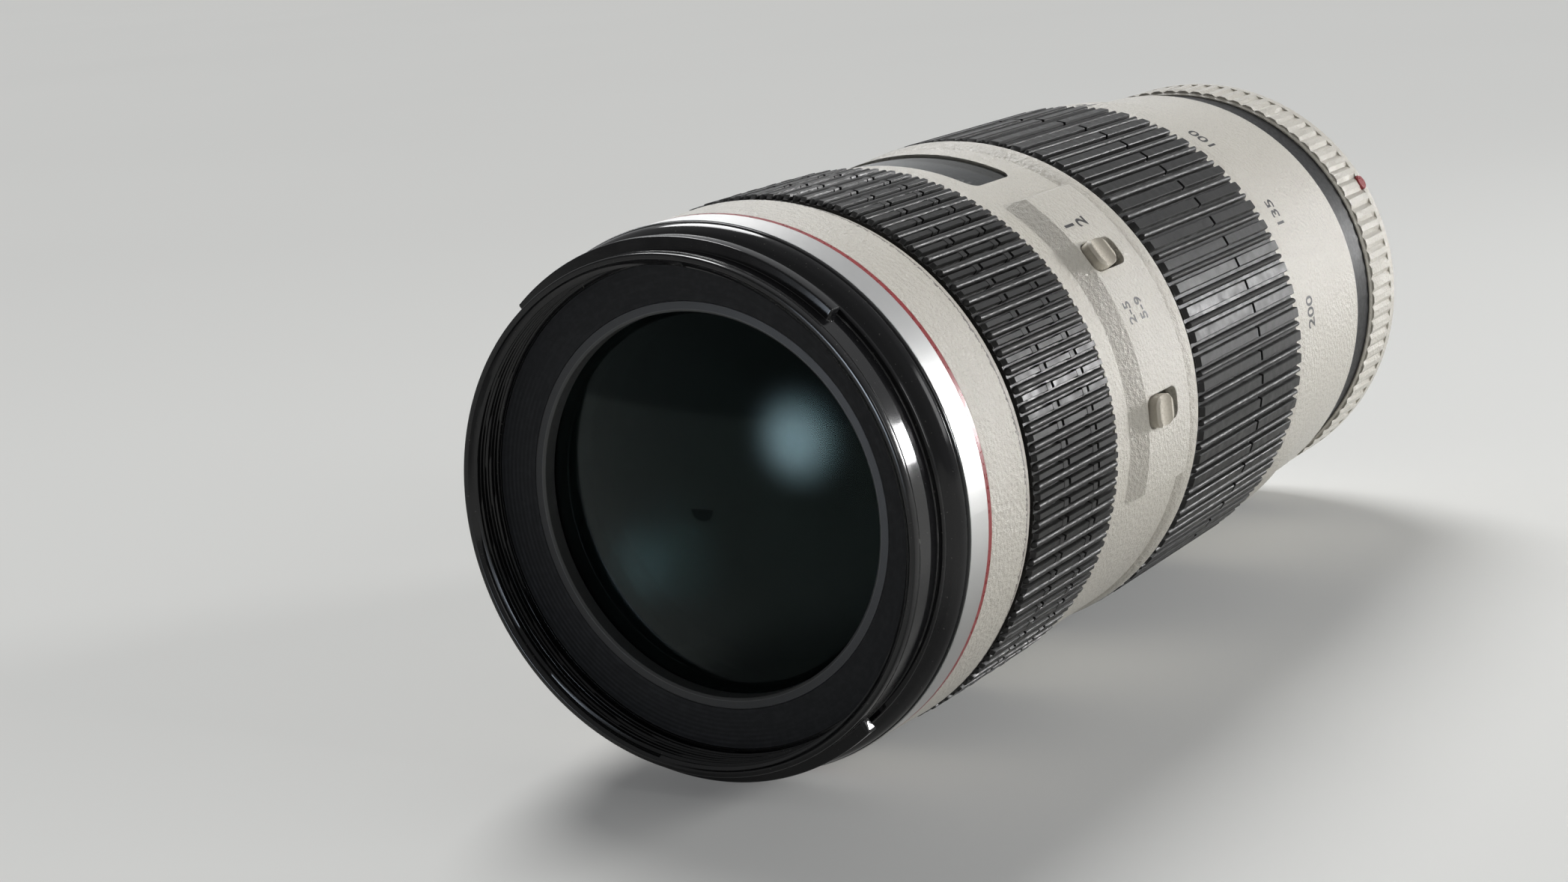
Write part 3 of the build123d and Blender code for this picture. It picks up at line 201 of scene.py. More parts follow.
soft_lamp("back_lamp", offset=(0.74, 1.00, 0.16), width=0.24, height=0.20, watts=0.68, fan=50)
soft_lamp("side_lamp", offset=(0.95, 0.12, 0.40), width=0.5, height=0.4, watts=2.5)
glass_lamp = soft_lamp("glass_lamp", offset=(-0.042, -0.251, -0.001), width=0.13, height=0.13, watts=1.0)
glass_lamp.visible_diffuse = False
hot_centre(glass_lamp.data, falloff=4.0, colour=(0.76, 0.86, 1.0, 1))

sky = bpy.data.lights.new("top_light", "SUN")
sky.energy = 2.3
sky.angle = math.radians(28)
top_light = bpy.data.objects.new("top_light", sky)
top_light.rotation_euler = Vector((-0.5, 0.5, 0.85)).to_track_quat("Z", "Y").to_euler()
bpy.context.scene.collection.objects.link(top_light)

camera_place = Vector((0.1922, -0.4424, 0.0820))
camera_right = Vector((0.8469, 0.5242, -0.0897))
camera_up = Vector((-0.0391, 0.2294, 0.9726))
camera_back = camera_right.cross(camera_up).normalized()
camera_axes = Matrix((camera_right.normalized(), camera_up.normalized(), camera_back)).transposed()
view = bpy.data.cameras.new("camera")
view.lens = 61.12
view.sensor_width = 36.0
camera = bpy.data.objects.new("camera", view)
camera.matrix_world = Matrix.Translation(camera_place) @ camera_axes.to_4x4()
bpy.context.scene.collection.objects.link(camera)
bpy.context.scene.camera = camera
bpy.context.scene.view_settings.view_transform = "Standard"


# Main tube, guide tube, cam tube and inner sleeves.
# Thin tubes of bare aluminium, turned on a lathe and milled with their cam
# slots, so a fine spiral of tool marks runs round them.
MM = 0.001
# The bands of a wave texture at scale 1 are this far apart.
wave_repeat = 0.314


def spread(tree, factor, low, high, first=0.35, last=0.65):
    """Turns values from first to last into values from low to high."""
    inputs = {"Value": factor, "From Min": first, "From Max": last, "To Min": low, "To Max": high}
    return wire(tree, "ShaderNodeMapRange", inputs).outputs["Result"]


def roughen(tree, shader, factor, low, high):
    """Roughness between two values, by a noise."""
    tree.links.new(spread(tree, factor, low, high), shader.inputs["Roughness"])


def relief(tree, shader, height, depth, strength=1.0, edge=0.0):
    """Bump of the given depth; with edge, sharp edges look rounded by that radius."""
    inputs = {"Height": height, "Distance": depth, "Strength": strength}
    if edge:
        inputs["Normal"] = wire(tree, "ShaderNodeBevel", {"Radius": edge}, samples=4).outputs["Normal"]
    bump = wire(tree, "ShaderNodeBump", inputs)
    tree.links.new(bump.outputs["Normal"], shader.inputs["Normal"])
    tree.links.new(bump.outputs["Normal"], shader.inputs["Coat Normal"])


def turned_metal(name, colour, roughness, pitch=0.25 * MM):
    """Metal with lathe rings that run round the lens axis."""
    finish, tree, shader, place = new_finish(name, colour, roughness, metallic=1.0)
    inputs = {"Vector": place, "Scale": wave_repeat / pitch, "Distortion": 0.6, "Detail": 2.0,
              "Detail Scale": 40.0}
    rings = wire(tree, "ShaderNodeTexWave", inputs, bands_direction="Y").outputs["Fac"]
    cloud = grain(tree, place, 4 * MM)
    shade(tree, shader, cloud, tinted(colour, 0.86), colour)
    roughen(tree, shader, cloud, roughness * 0.8, roughness * 1.25)
    relief(tree, shader, rings, depth=0.004 * MM, strength=0.5, edge=0.12 * MM)
    return finish


def dress(finish, *names):
    """Gives a finish to the part's own solids."""
    for name in names:
        for holder in nodes[name].material_slots:
            holder.material = finish


bare_aluminium = turned_metal("bare_aluminium", (0.60, 0.60, 0.61), 0.32)
dress(bare_aluminium, "main_tube", "focus_sleeve", "focus_cam", "cam_tube", "guide_tube")


# Cells, housings and retainers.
# Aluminium rings that hold the glass and the motor, anodised a matt black that
# swallows stray light. The edge of the front retainer's bore is rubbed to grey.
retainer_bore, rubbed_to = 26.32 * MM, 26.42 * MM


def fade(tree, value, none_at, full_at):
    """A share that is 0 where a value is at none_at, 1 at full_at and graded between."""
    return spread(tree, value, 0.0, 1.0, none_at, full_at)


def radial_distance(tree):
    """Distance of a point from the optical axis."""
    place = wire(tree, "ShaderNodeTexCoord").outputs["Object"]
    inputs = {0: place, 1: (1.0, 0.0, 1.0)}
    across = wire(tree, "ShaderNodeVectorMath", inputs, operation="MULTIPLY").outputs[0]
    return wire(tree, "ShaderNodeVectorMath", {0: across}, operation="LENGTH").outputs["Value"]


def overlay(tree, shader, share, colour):
    """Lays another colour over the base colour, by a share."""
    under = shader.inputs["Base Color"].links[0].from_socket
    inputs = {"Factor": share, "A": under, "B": (*colour, 1)}
    mix = wire(tree, "ShaderNodeMix", inputs, data_type="RGBA")
    tree.links.new(mix.outputs["Result"], shader.inputs["Base Color"])


def anodised(name, colour, roughness, specular=0.5, pitch=0.35 * MM, depth=0.006 * MM):
    """Matt black anodised metal with fine turned rings and a dusty, uneven sheen."""
    finish, tree, shader, place = new_finish(name, colour, roughness, specular=specular)
    inputs = {"Vector": place, "Scale": wave_repeat / pitch, "Distortion": 0.5, "Detail": 2.0,
              "Detail Scale": 60.0}
    rings = wire(tree, "ShaderNodeTexWave", inputs, wave_type="RINGS", rings_direction="Y").outputs["Fac"]
    dust = grain(tree, place, 0.7 * MM, detail=8.0)
    shade(tree, shader, fade(tree, dust, 0.55, 0.85), colour, tinted(colour, 2.0))
    roughen(tree, shader, dust, roughness * 0.85, roughness * 1.15)
    relief(tree, shader, rings, depth, strength=0.6, edge=0.1 * MM)
    return finish


black_anodised = anodised("black_anodised", (0.012, 0.012, 0.013), 0.46, specular=0.25)
dress(black_anodised, "focus_housing", "focus_cell", "variator_cell",
      "compensator_cell", "iris_housing", "iris_drive_ring", "rear_cell", "rear_tube")
baffle_black = anodised("baffle_black", (0.006, 0.006, 0.0065), 0.6, specular=0.2,
                        pitch=0.6 * MM, depth=0.03 * MM)
dress(baffle_black, "front_cell")
worn_anodised = anodised("worn_anodised", (0.010, 0.010, 0.011), 0.42, pitch=0.2 * MM, depth=0.003 * MM)
tree = worn_anodised.node_tree
rubbed = fade(tree, radial_distance(tree), rubbed_to, retainer_bore)
overlay(tree, tree.nodes["Principled BSDF"], rubbed, (0.09, 0.093, 0.093))
dress(worn_anodised, "front_retainer")


# Motor rings, rollers and fasteners.
# Ground steel rings press on each other in the motor; the rollers, followers
# and keys between the moving groups are steel and brass turnings.
rollers = [f"focus_roller_{count}" for count in (1, 2, 3)]
ground_steel = turned_metal("ground_steel", (0.52, 0.52, 0.53), 0.24, pitch=0.18 * MM)
dress(ground_steel, "usm_stator", "usm_rotor", "mount_screws", *rollers)
turned_brass = turned_metal("turned_brass", (0.72, 0.53, 0.23), 0.26)
dress(turned_brass, "zoom_key", "focus_followers", "variator_followers", "compensator_followers")


# Iris blades.
# Eight leaves of thin blackened steel foil, punched and coated, that slide on
# each other between the iris plate and its drive ring.
foil_colour, rubbed_foil_colour = (0.03, 0.03, 0.032), (0.075, 0.072, 0.07)
foil, tree, shader, place = new_finish("blackened_foil", foil_colour, 0.34, metallic=0.6)
rubbing = grain(tree, place, 1.6 * MM, detail=5.0)
shade(tree, shader, fade(tree, rubbing, 0.5, 0.75), foil_colour, rubbed_foil_colour)
roughen(tree, shader, rubbing, 0.26, 0.44)
relief(tree, shader, rubbing, depth=0.004 * MM, strength=0.4)
dress(foil, *[f"iris_blade_{count}" for count in range(1, 9)])


# Boards, plastic rings and contacts.
# Dark glass-fibre boards carry copper tracks under lacquer; the contact block
# and baffle are moulded in black plastic, and the spring pins are gold plated.
board_green, lacquered_green, track_copper = (0.012, 0.035, 0.02), (0.016, 0.045, 0.026), (0.05, 0.04, 0.02)
laminate, tree, shader, place = new_finish("dark_laminate", board_green, 0.34)
inputs = {"Vector": place, "Scale": 160.0, "Mortar Size": 0.05, "Color1": (*board_green, 1),
          "Color2": (*lacquered_green, 1), "Mortar": (*track_copper, 1)}
tracks = wire(tree, "ShaderNodeTexBrick", inputs)
tree.links.new(tracks.outputs["Color"], shader.inputs["Base Color"])
relief(tree, shader, tracks.outputs["Fac"], depth=0.02 * MM, strength=0.5)
dress(laminate, "switch_boards", "main_board")


def moulded(name, colour, roughness):
    """Spark-grained moulded plastic."""
    finish, tree, shader, place = new_finish(name, colour, roughness)
    pits = grain(tree, place, 0.3 * MM, detail=3.0)
    shade(tree, shader, grain(tree, place, 6 * MM), tinted(colour, 0.88), colour)
    roughen(tree, shader, pits, roughness * 0.8, roughness * 1.2)
    relief(tree, shader, pits, depth=0.01 * MM, strength=0.6, edge=0.15 * MM)
    return finish


black_plastic = moulded("black_plastic", (0.022, 0.022, 0.023), 0.46)
dress(black_plastic, "mount_baffle", "contact_block", "distance_scale")
gold_plate = turned_metal("gold_plate", (0.86, 0.62, 0.26), 0.2, pitch=0.1 * MM)
dress(gold_plate, "contact_pins")


# Lens elements.
# Ground and polished glass with a coating that leaves only a faint blue-green
# reflection; the first element closes the front of the lens.
glass_colour = (0.16, 0.20, 0.20)
glass_index = 1.52


def coated_glass(name, tint, specular, roughness=0.004):
    """Clear glass whose surface reflection is tinted by its coating."""
    finish, tree, shader, place = new_finish(name, glass_colour, roughness, specular=specular)
    shader.inputs["Transmission Weight"].default_value = 1.0
    shader.inputs["IOR"].default_value = glass_index
    shader.inputs["Specular Tint"].default_value = (*tint, 1)
    film = fade(tree, grain(tree, place, 3 * MM, detail=6.0), 0.6, 0.8)
    roughen(tree, shader, film, roughness, roughness * 1.2)
    return finish


front_coating = coated_glass("front_coating", (0.18, 0.25, 0.24), specular=0.25, roughness=0.07)
dress(front_coating, "front_glass")
inner_coating = coated_glass("inner_coating", (0.26, 0.20, 0.6), specular=0.5)
dress(inner_coating, "focus_glass", "variator_glass", "compensator_glass", "rear_glass")


# Focus ring grip.
# A band of black rubber moulded over the focus sleeve: ninety pairs of ribs,
# one flat and cut into three bricks, one round with a rounded nose.
band_thickness = 1.45 * MM
rib_height = 0.8 * MM
rib_foot = 0.15 * MM
front_slope = 0.5 * MM
slope = 0.10 * MM
notch_width = 0.6 * MM
notch_share = 0.12
# A brick's top is a little lower than the raised step at its end.
brick_share = 0.92
step_length = 1.3 * MM
focus_pairs = 90
focus_notches = (9.0 * MM, 18.0 * MM)
focus_low, focus_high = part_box("focus_grip")
focus_end = focus_high.y - focus_low.y - 0.3 * MM
nose_steps = 6
flat_section = [(-1, 0), (-0.9, 0.82), (-0.76, 1), (0, 1), (0.76, 1), (0.9, 0.82), (1, 0)]
round_section = [(math.sin(turn * math.pi / 8), math.cos(turn * math.pi / 8)) for turn in range(-4, 5)]


def rubber(name, colour, roughness, specular):
    """Matt rubber with a fine moulded grain and a little dust in the hollows."""
    finish, tree, shader, place = new_finish(name, colour, roughness, specular=specular)
    fine = grain(tree, place, 0.16 * MM, detail=4.0)
    dust = grain(tree, place, 1.6 * MM, detail=8.0)
    shade(tree, shader, fade(tree, dust, 0.5, 0.85), colour, tinted(colour, 2.2))
    roughen(tree, shader, dust, roughness * 0.8, roughness * 1.25)
    relief(tree, shader, fine, depth=0.018 * MM, strength=0.5)
    return finish


def level_at(cuts, along):
    """Height share of a rib at a distance along it, from its list of corners."""
    if along <= cuts[0][0]:
        return cuts[0][1]
    for (first, low), (last, high) in zip(cuts, cuts[1:]):
        if along <= last:
            return low + (high - low) * (along - first) / max(last - first, 1e-9)
    return cuts[-1][1]


def width_share(rib, along):
    """Width share of a rib at a distance along it: less over its nose, more at a raised step."""
    share = 1.0
    if rib["nose"]:
        reached = min(max((along - rib["cuts"][0][0]) / rib["nose"], 0.0), 1.0)
        share = max(math.sqrt(1 - (1 - reached) ** 2), 0.05)
    raised = max(level_at(rib["cuts"], along) - brick_share, 0.0) / (1 - brick_share)
    return share * (1 + rib["flare"] * raised)


def lofted(name, grid, sharp):
    """A smooth closed piece from rings of points; edges of over sharp degrees stay sharp."""
    def build(work):
        rings = [[work.verts.new(point) for point in ring] for ring in grid]
        for index, ring in enumerate(rings):
            after = rings[(index + 1) % len(rings)]
            for column in range(len(ring)):
                side = (column + 1) % len(ring)
                work.faces.new((ring[column], ring[side], after[side], after[column]))

    piece = new_piece(name, build)
    piece.data.shade_smooth()
    piece.data.set_sharp_from_angle(angle=math.radians(sharp))
    return piece


def ribbed_band(name, node, pairs, ribs):
    """A closed rubber band whose outside is a pair of ribs, repeated round the axis."""
    low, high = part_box(node)
    start, length, outside = low.y, high.y - low.y, high.x
    floor, bore = outside - rib_height, outside - band_thickness
    period = 2 * math.pi / pairs
    rows = {0.0, round(length, 7)}
    for rib in ribs:
        rows |= {round(corner, 7) for corner, _ in rib["cuts"]}
        if rib["nose"]:
            for step in range(1, nose_steps + 1):
                turn = math.pi / 2 * step / nose_steps
                rows.add(round(rib["nose"] * (1 - math.cos(turn)) + rib["cuts"][0][0], 7))
    rows = sorted(rows)
    grid = []
    for along, inside in [(rows[0], True), *[(row, False) for row in rows], (rows[-1], True)]:
        ring = []
        for count in range(pairs):
            for rib in ribs:
                half_width = rib["width"] / 2 * (1.0 if inside else width_share(rib, along))
                level = level_at(rib["cuts"], along)
                for offset, height in rib["section"]:
                    angle = period * (count + rib["middle"] + offset * half_width)
                    radius = bore if inside else floor + height * rib["height"] * level
                    ring.append((radius * math.cos(angle), start + along, radius * math.sin(angle)))
        grid.append(ring)
    return lofted(name, grid, 32)


def brick_cuts(first, last, notches):
    """Corners of a flat rib with a raised step and a notch at each given place."""
    cuts = [(first, 0.25), (first + front_slope, brick_share)]
    for notch in notches:
        cuts += [(notch - step_length - slope, brick_share), (notch - step_length, 1), (notch - slope, 1),
                 (notch, notch_share), (notch + notch_width, notch_share),
                 (notch + notch_width + slope, brick_share)]
    return cuts + [(last - slope, brick_share), (last, 0)]


def round_cuts(first, last):
    """Corners of a round rib that runs through."""
    return [(first, 0.2), (first + front_slope, 1), (last - slope, 1), (last, 0)]


grip_rubber = rubber("grip_rubber", (0.0115, 0.0112, 0.0108), 0.42, specular=0.3)
# A rib's middle and width are shares of a pair's turn; flare widens its raised steps.
focus_ribs = [
    {"middle": 0.20, "width": 0.35, "height": rib_height, "nose": 0, "flare": 0.25,
     "section": flat_section, "cuts": brick_cuts(rib_foot, focus_end, focus_notches)},
    {"middle": 0.70, "width": 0.44, "height": 0.7 * MM, "nose": 0.85 * MM, "flare": 0,
     "section": round_section, "cuts": round_cuts(rib_foot, focus_end)},
]
focus_band = ribbed_band("focus_grip_band", "focus_grip", focus_pairs, focus_ribs)
focus_band.data.materials.append(grip_rubber)
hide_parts("focus_grip")
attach(focus_band, "focus_ring")


# Painted body, bead ring, zoom sleeve, barrels and mount ring.
# Cast and turned metal under a warm off-white stove paint whose fine pebbled
# skin glitters where a lamp grazes it; the dark line at the front barrel's bevel is painted shade and
# scuffs.
paint_colour = (0.66, 0.625, 0.55)
shade_and_scuff_colour = (0.17, 0.15, 0.13)
pebble_size = 0.66 * MM
soft_edge = 0.2 * MM
bevel_width = 1.7 * MM
bevel_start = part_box("front_barrel")[1].y - bevel_width


def pebbled_paint(name, edge=0.0, shade_and_scuff_line=None):
    """Rounded pebbles, a finer grain over them and a clear, glittering skin."""
    finish, tree, shader, place = new_finish(name, paint_colour, 0.36)
    shader.inputs["Coat Weight"].default_value = 0.5
    shader.inputs["Coat Roughness"].default_value = 0.16
    inputs = {"Vector": place, "Scale": 1 / pebble_size, "Smoothness": 0.6, "Randomness": 1.0}
    pebbles = wire(tree, "ShaderNodeTexVoronoi", inputs, feature="SMOOTH_F1").outputs["Distance"]
    fine = grain(tree, place, 0.18 * MM, detail=3.0)
    shade(tree, shader, grain(tree, place, 12 * MM, detail=4.0), tinted(paint_colour, 0.93), paint_colour)
    # A ragged dark line along the bevel's edge: painted shade of that edge, with scuffed paint.
    if shade_and_scuff_line is not None:
        along = wire(tree, "ShaderNodeSeparateXYZ", {0: place}).outputs["Y"]
        wander = grain(tree, place, 0.5 * MM, detail=4.0)
        ragged = spread(tree, wander, shade_and_scuff_line - 0.25 * MM, shade_and_scuff_line + 0.25 * MM)
        away = reckon(tree, "ABSOLUTE", reckon(tree, "SUBTRACT", along, ragged))
        overlay(tree, shader, fade(tree, away, 0.28 * MM, 0.12 * MM), shade_and_scuff_colour)
    roughen(tree, shader, fine, 0.26, 0.44)
    relief(tree, shader, reckon(tree, "ADD", pebbles, fine), depth=0.16 * MM, strength=0.9, edge=edge)
    return finish


white_paint = pebbled_paint("white_paint", soft_edge)
dress(white_paint, "body_shell", "bead_ring", "zoom_sleeve", "rear_barrel")
barrel_paint = pebbled_paint("barrel_paint", soft_edge, shade_and_scuff_line=bevel_start)
dress(barrel_paint, "front_barrel")
knurl_paint = pebbled_paint("knurl_paint")
dress(knurl_paint, "mount_ring")


# Distance window.
# A pane of clear, slightly smoked plastic, moulded to the curve of the body and
# glued into its opening over the scale drum.
pane_colour = (0.42, 0.44, 0.44)
clear_plastic, tree, shader, place = new_finish("clear_plastic", pane_colour, 0.05, specular=0.06)
shader.inputs["Transmission Weight"].default_value = 1.0
shader.inputs["IOR"].default_value = 1.2
roughen(tree, shader, grain(tree, place, 2 * MM, detail=6.0), 0.03, 0.09)
dress(clear_plastic, "window_pane")


# Switch knobs.
# Two small slides moulded in cream plastic, each with a hollow for the thumb; where a
# slide sits down in its slot it is painted near-black as painted shade in the slot.
slot_shade_top, cream_from = 38.0 * MM, 38.3 * MM
cream_plastic = moulded("cream_plastic", (0.62, 0.57, 0.48), 0.3)
tree = cream_plastic.node_tree
# Painted shade: below the panel, down in its slot, the slide turns near-black.
painted_slot_shade = fade(tree, radial_distance(tree), cream_from, slot_shade_top)
overlay(tree, tree.nodes["Principled BSDF"], painted_slot_shade, (0.015, 0.015, 0.016))
dress(cream_plastic, "af_switch", "limiter_switch")


# Zoom ring grip.
# The longer rubber band on the zoom sleeve: sixty-four pairs of ribs, a round
# one that runs through and a broad flat one cut once across.
zoom_pairs = 64
zoom_notch = 22.7 * MM
zoom_slope = 0.6 * MM
zoom_low, zoom_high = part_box("zoom_grip")
zoom_end = zoom_high.y - zoom_low.y - 0.1 * MM
zoom_ribs = [
    {"middle": 0.235, "width": 0.47, "height": rib_height, "nose": 0, "flare": 0,
     "section": flat_section,
     "cuts": [(rib_foot, 0.25), (rib_foot + zoom_slope, 1), (zoom_notch - slope, 1),
              (zoom_notch, notch_share), (zoom_notch + notch_width, notch_share),
              (zoom_notch + notch_width + slope, 1), (zoom_end - slope, 1), (zoom_end, 0)]},
    {"middle": 0.735, "width": 0.27, "height": 0.76 * MM, "nose": 0.7 * MM, "flare": 0,
     "section": round_section, "cuts": round_cuts(rib_foot, zoom_end)},
]
zoom_band = ribbed_band("zoom_grip_band", "zoom_grip", zoom_pairs, zoom_ribs)
zoom_band.data.materials.append(grip_rubber)
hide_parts("zoom_grip")
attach(zoom_band, "zoom_ring")


# Mount plate, index dot and red ring.
# The bayonet is chromed and lapped; the index dot and the thin ring behind the
# silver one are filled with deep red enamel.
satin_chrome = turned_metal("satin_chrome", (0.66, 0.66, 0.67), 0.22, pitch=0.3 * MM)
dress(satin_chrome, "mount_plate")
red_enamel, tree, shader, place = new_finish("red_enamel", (0.36, 0.02, 0.022), 0.3)
cloud = grain(tree, place, 0.9 * MM, detail=4.0)
shade(tree, shader, cloud, (0.22, 0.010, 0.012), (0.32, 0.018, 0.020))
roughen(tree, shader, cloud, 0.24, 0.4)
relief(tree, shader, cloud, depth=0.01 * MM, strength=0.4, edge=0.08 * MM)
dress(red_enamel, "index_dot", "red_ring")


# Silver ring.
# A ring of turned aluminium between the black front ring and the white barrel,
# blasted to a fine satin and pressed on.
satin_silver, tree, shader, place = new_finish("satin_silver", (0.62, 0.62, 0.61), 0.36, metallic=1.0)
blasted = grain(tree, place, 0.15 * MM, detail=3.0)
shade(tree, shader, blasted, (0.52, 0.52, 0.52), (0.66, 0.66, 0.65))
roughen(tree, shader, blasted, 0.34, 0.5)
relief(tree, shader, blasted, depth=0.012 * MM, strength=0.5, edge=0.12 * MM)
dress(satin_silver, "name_ring")


# Front ring.
# Turned aluminium under gloss black paint, with the filter thread in its mouth,
# two hood lugs round it and a stepped, glossy shoulder; knocks have bared its edges.
black_paint_colour = (0.010, 0.010, 0.011)
dust_colour = (0.09, 0.088, 0.08)
bared_colour = (0.62, 0.62, 0.61)
front_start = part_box("filter_ring")[0].y
thread_crest, thread_root, thread_pitch = 33.094 * MM, 33.5 * MM, 0.75 * MM
thread_start, thread_end = 0.8 * MM, 5.6 * MM
thread_rows = 56
# How steep the thread's flanks are, and how far from its crest's middle they start.
flank_rise, flank_delay = 2.4, 0.7
lug_centres = (math.pi / 2, 3 * math.pi / 2)
lug_half_arc = math.radians(42.5)
lug_end_run = math.radians(1.1)
lug_end_steps = 6
round_columns = 300
least_gap = 0.0009


def eased(corners):
    """Outline of (radius, station) corners in mm, each rounded by its third number."""
    points = []
    steps = 3
    for index, (radius, station, fillet) in enumerate(corners):
        here = Vector((radius, station))
        if not fillet:
            points.append(here)
            continue
        before = Vector(corners[index - 1][:2]) - here
        after = Vector(corners[(index + 1) % len(corners)][:2]) - here
        reach = min(fillet, before.length * 0.45, after.length * 0.45)
        first, last = here + before.normalized() * reach, here + after.normalized() * reach
        for step in range(steps + 1):
            share = step / steps
            points.append(first.lerp(here, share).lerp(here.lerp(last, share), share))
    return points


mouth = eased([(33.5, 0.8, 0), (33.85, 0.25, 0.2), (34.0, 0.0, 0.1), (34.7, 0.0, 0.2), (34.82, 0.9, 0.15),
               (34.7, 1.0, 0), (34.7, 1.25, 0), (34.8, 1.35, 0)])
plain_rim = eased([(34.8, 2.7, 0), (34.8, 3.2, 0.1), (34.8, 3.7, 0.1), (34.8, 4.2, 0.15), (34.5, 4.25, 0.1),
                   (34.5, 5.4, 0)])
lugged_rim = eased([(34.8, 2.7, 0), (34.8, 2.95, 0.1), (36.4, 2.95, 0.22), (36.4, 4.9, 0.22),
                    (34.5, 4.95, 0.1), (34.5, 5.4, 0)])
shoulder = eased([(34.5, 6.2, 0), (34.6, 6.3, 0), (35.35, 6.35, 0.22), (35.45, 6.85, 0.12),
                  (35.3, 6.95, 0), (35.55, 7.15, 0.15), (36.2, 7.55, 0.5), (36.9, 8.4, 0.6),
                  (37.12, 9.1, 0.2), (36.95, 9.2, 0), (36.95, 9.35, 0), (37.25, 9.45, 0.15),
                  (37.25, 9.8, 0), (32.7, 9.8, 0), (32.7, 5.6, 0)])


def front_ring_column(angle):
    """The outline at one angle: thread, mouth, rim with or without its lug, and shoulder."""
    column = []
    for row in range(thread_rows + 1):
        station = thread_end + (thread_start - thread_end) * row / thread_rows
        phase = (station / thread_pitch - angle / (2 * math.pi)) % 1.0
        rise = min(max(flank_rise * (1 - abs(2 * phase - 1)) - flank_delay, 0.0), 1.0)
        column.append((thread_crest + (thread_root - thread_crest) * rise, front_start + station))
    near = min(abs(angle - centre) for centre in lug_centres)
    lug = min(max((lug_half_arc - near) / lug_end_run, 0.0), 1.0)
    lug = lug * lug * (3 - 2 * lug)
    rim = [plain.lerp(raised, lug) for plain, raised in zip(plain_rim, lugged_rim)]
    for point in (*mouth[1:], *rim, *shoulder):
        column.append((point.x * MM, front_start + point.y * MM))
    return [(radius * math.cos(angle), y, radius * math.sin(angle)) for radius, y in column]


def bared_edges(tree, place):
    """A share that is 1 in ragged patches along sharp edges."""
    rounded = wire(tree, "ShaderNodeBevel", {"Radius": 0.12 * MM}, samples=6).outputs["Normal"]
    flat = wire(tree, "ShaderNodeNewGeometry").outputs["Normal"]
    both = wire(tree, "ShaderNodeVectorMath", {0: rounded, 1: flat}, operation="DOT_PRODUCT")
    patch = spread(tree, grain(tree, place, 1.6 * MM, detail=6.0), 0.3, 1.0, 0.58, 0.66)
    return reckon(tree, "MULTIPLY", fade(tree, both.outputs["Value"], 0.985, 0.86), patch)


front_angles = {round(2 * math.pi * count / round_columns, 5) for count in range(round_columns)}
front_angles |= {round(centre + side * (lug_half_arc - lug_end_run * step / lug_end_steps), 5)
                 for centre in lug_centres for side in (-1, 1) for step in range(-1, lug_end_steps + 2)}
front_angles = sorted(front_angles)
front_angles = [angle for index, angle in enumerate(front_angles)
                if index == 0 or angle - front_angles[index - 1] > least_gap]
front_ring = lofted("front_ring", [front_ring_column(angle) for angle in front_angles], 34)
gloss_black, tree, shader, place = new_finish("gloss_black", black_paint_colour, 0.14, specular=0.36)
dust = fade(tree, grain(tree, place, 0.35 * MM), 0.70, 0.76)
shade(tree, shader, dust, black_paint_colour, dust_colour)
outside = fade(tree, radial_distance(tree), 33.7 * MM, 33.75 * MM)
bared = reckon(tree, "MULTIPLY", bared_edges(tree, place), outside)
overlay(tree, shader, bared, bared_colour)
tree.links.new(bared, shader.inputs["Metallic"])
roughen(tree, shader, grain(tree, place, 4 * MM, detail=6.0), 0.08, 0.18)
brushed = grain(tree, place, 0.5 * MM, detail=3.0)
relief(tree, shader, brushed, depth=0.003 * MM, strength=0.4, edge=0.08 * MM)
front_ring.data.materials.append(gloss_black)
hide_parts("filter_ring")
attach(front_ring, "barrel")


# Printed figures and marks.
# Focal lengths are printed in black on the zoom ring, distances in white on the
# drum behind the window, and small plain marks stand beside the two switches.
ink_depth = 0.02 * MM
strip_width = 0.4 * MM


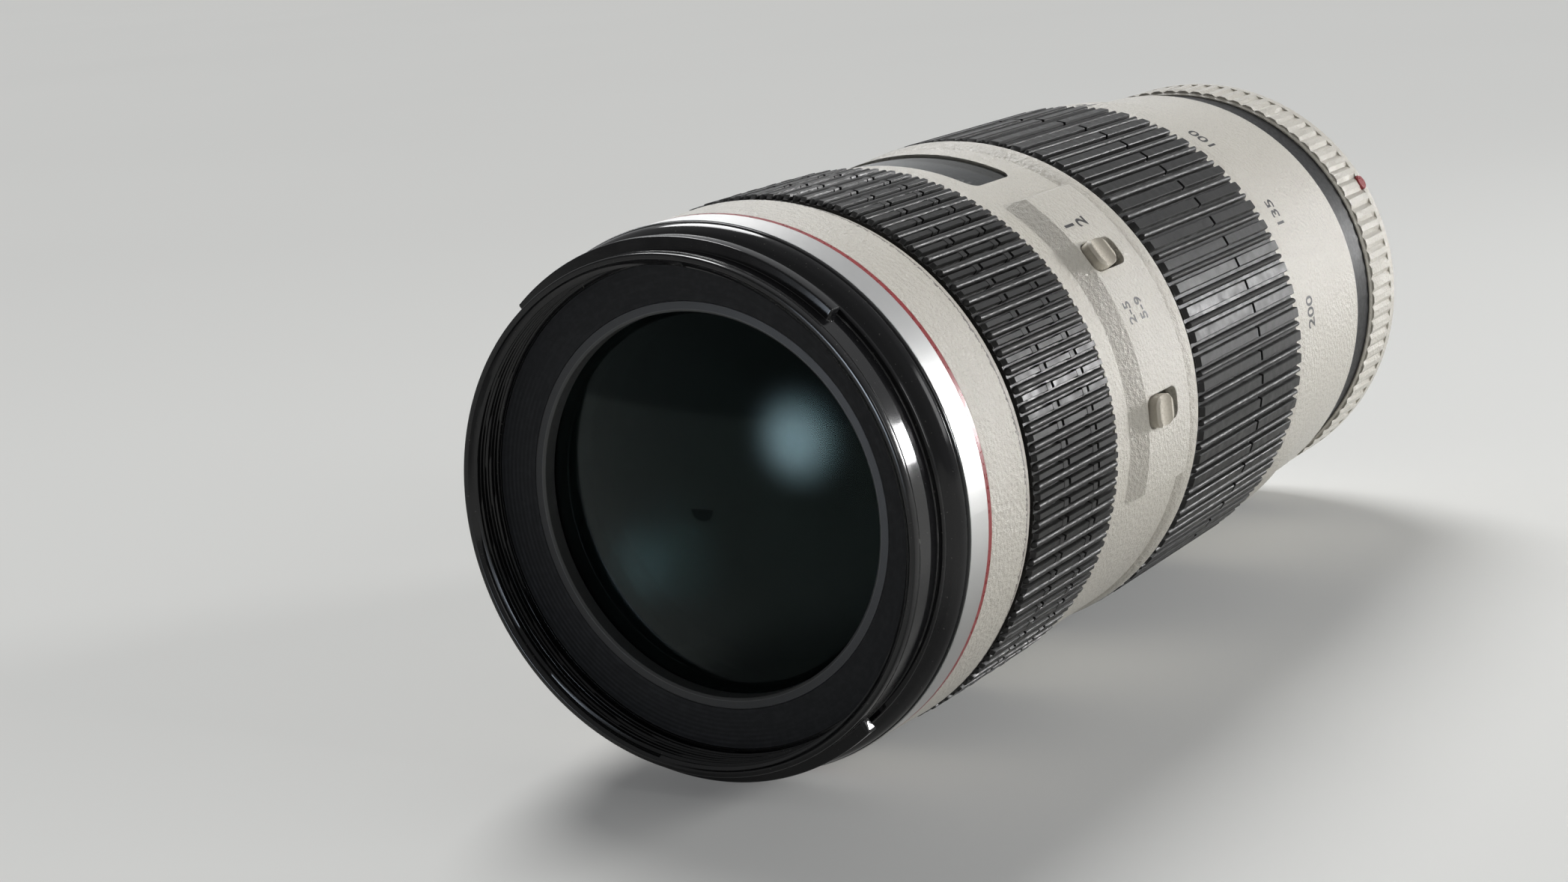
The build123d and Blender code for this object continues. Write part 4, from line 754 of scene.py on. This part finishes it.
def wrapped_text(text, height, angle, station, radius):
    """The mesh of one thin raised text, cut into strips and wrapped round the axis."""
    line = bpy.data.curves.new("line", "FONT")
    line.body = text
    line.size = height / 0.7
    line.align_x = "CENTER"
    line.extrude = ink_depth
    line.offset = 0.02 * height
    line.resolution_u = 3
    holder = bpy.data.objects.new("line", line)
    bpy.context.scene.collection.objects.link(holder)
    bpy.context.view_layer.update()
    flat = bpy.data.meshes.new_from_object(holder.evaluated_get(bpy.context.evaluated_depsgraph_get()))
    bpy.data.objects.remove(holder)
    glyphs = bmesh.new()
    glyphs.from_mesh(flat)
    bmesh.ops.remove_doubles(glyphs, verts=glyphs.verts, dist=0.001 * MM)
    across = [vertex.co.x for vertex in glyphs.verts]
    at = min(across)
    while at < max(across):
        bmesh.ops.bisect_plane(glyphs, geom=glyphs.verts[:] + glyphs.edges[:] + glyphs.faces[:],
                               plane_co=(at, 0, 0), plane_no=(1, 0, 0))
        at += strip_width
    for vertex in glyphs.verts:
        turn = math.radians(angle) + vertex.co.x / radius
        out = radius + vertex.co.z
        y = front_start + station * MM + height / 2 - vertex.co.y
        vertex.co = (out * math.cos(turn), y, out * math.sin(turn))
    glyphs.to_mesh(flat)
    glyphs.free()
    return flat


def printed(name, rows, radius, ink, body):
    """Figures on a round face; rows hold text, angle, station in mm and height."""
    def build(work):
        for text, angle, station, height in rows:
            glyphs = wrapped_text(text, height, angle, station, radius)
            work.from_mesh(glyphs)
            bpy.data.meshes.remove(glyphs)

    piece = new_piece(name, build)
    piece.data.materials.append(ink)
    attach(piece, body)


def printing_ink(name, colour):
    """Ink with thin and thick places."""
    finish, tree, shader, place = new_finish(name, colour, 0.45)
    thin = grain(tree, place, 0.3 * MM, detail=4.0)
    shade(tree, shader, thin, colour, tuple(share * 1.3 + 0.01 for share in colour))
    roughen(tree, shader, thin, 0.4, 0.55)
    return finish


black_ink = printing_ink("black_ink", (0.02, 0.02, 0.021))
white_ink = printing_ink("white_ink", (0.62, 0.62, 0.58))

focal_lengths = (("70", 90), ("100", 57), ("135", 31), ("200", 5))
band_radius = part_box("zoom_sleeve")[1].z
focal_rows = [(text, angle, 127.0, 2.5 * MM) for text, angle in focal_lengths]
printed("focal_figures", focal_rows, band_radius, black_ink, "zoom_ring")

distances = (("1.2", 15), ("1.5", 25), ("2", 36), ("3", 48), ("5", 61), ("10", 75), ("30", 90))
drum_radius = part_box("distance_scale")[1].x
drum_rows = [(text, angle, 66.3, 2.0 * MM) for text, angle in distances]
drum_rows += [("|", angle, 62.6, 1.6 * MM) for _, angle in distances]
printed("distance_figures", drum_rows, drum_radius, white_ink, "output_ring")

front_marks, rear_marks = 62.9, 66.6
panel_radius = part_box("body_shell")[1].x
panel_rows = [("1", 45.5, front_marks, 2.6 * MM), ("2", 45.5, rear_marks, 2.6 * MM),
              ("2-5", 23.5, front_marks, 1.9 * MM), ("5-9", 23.5, rear_marks, 1.9 * MM)]
printed("switch_marks", panel_rows, panel_radius, black_ink, "barrel")
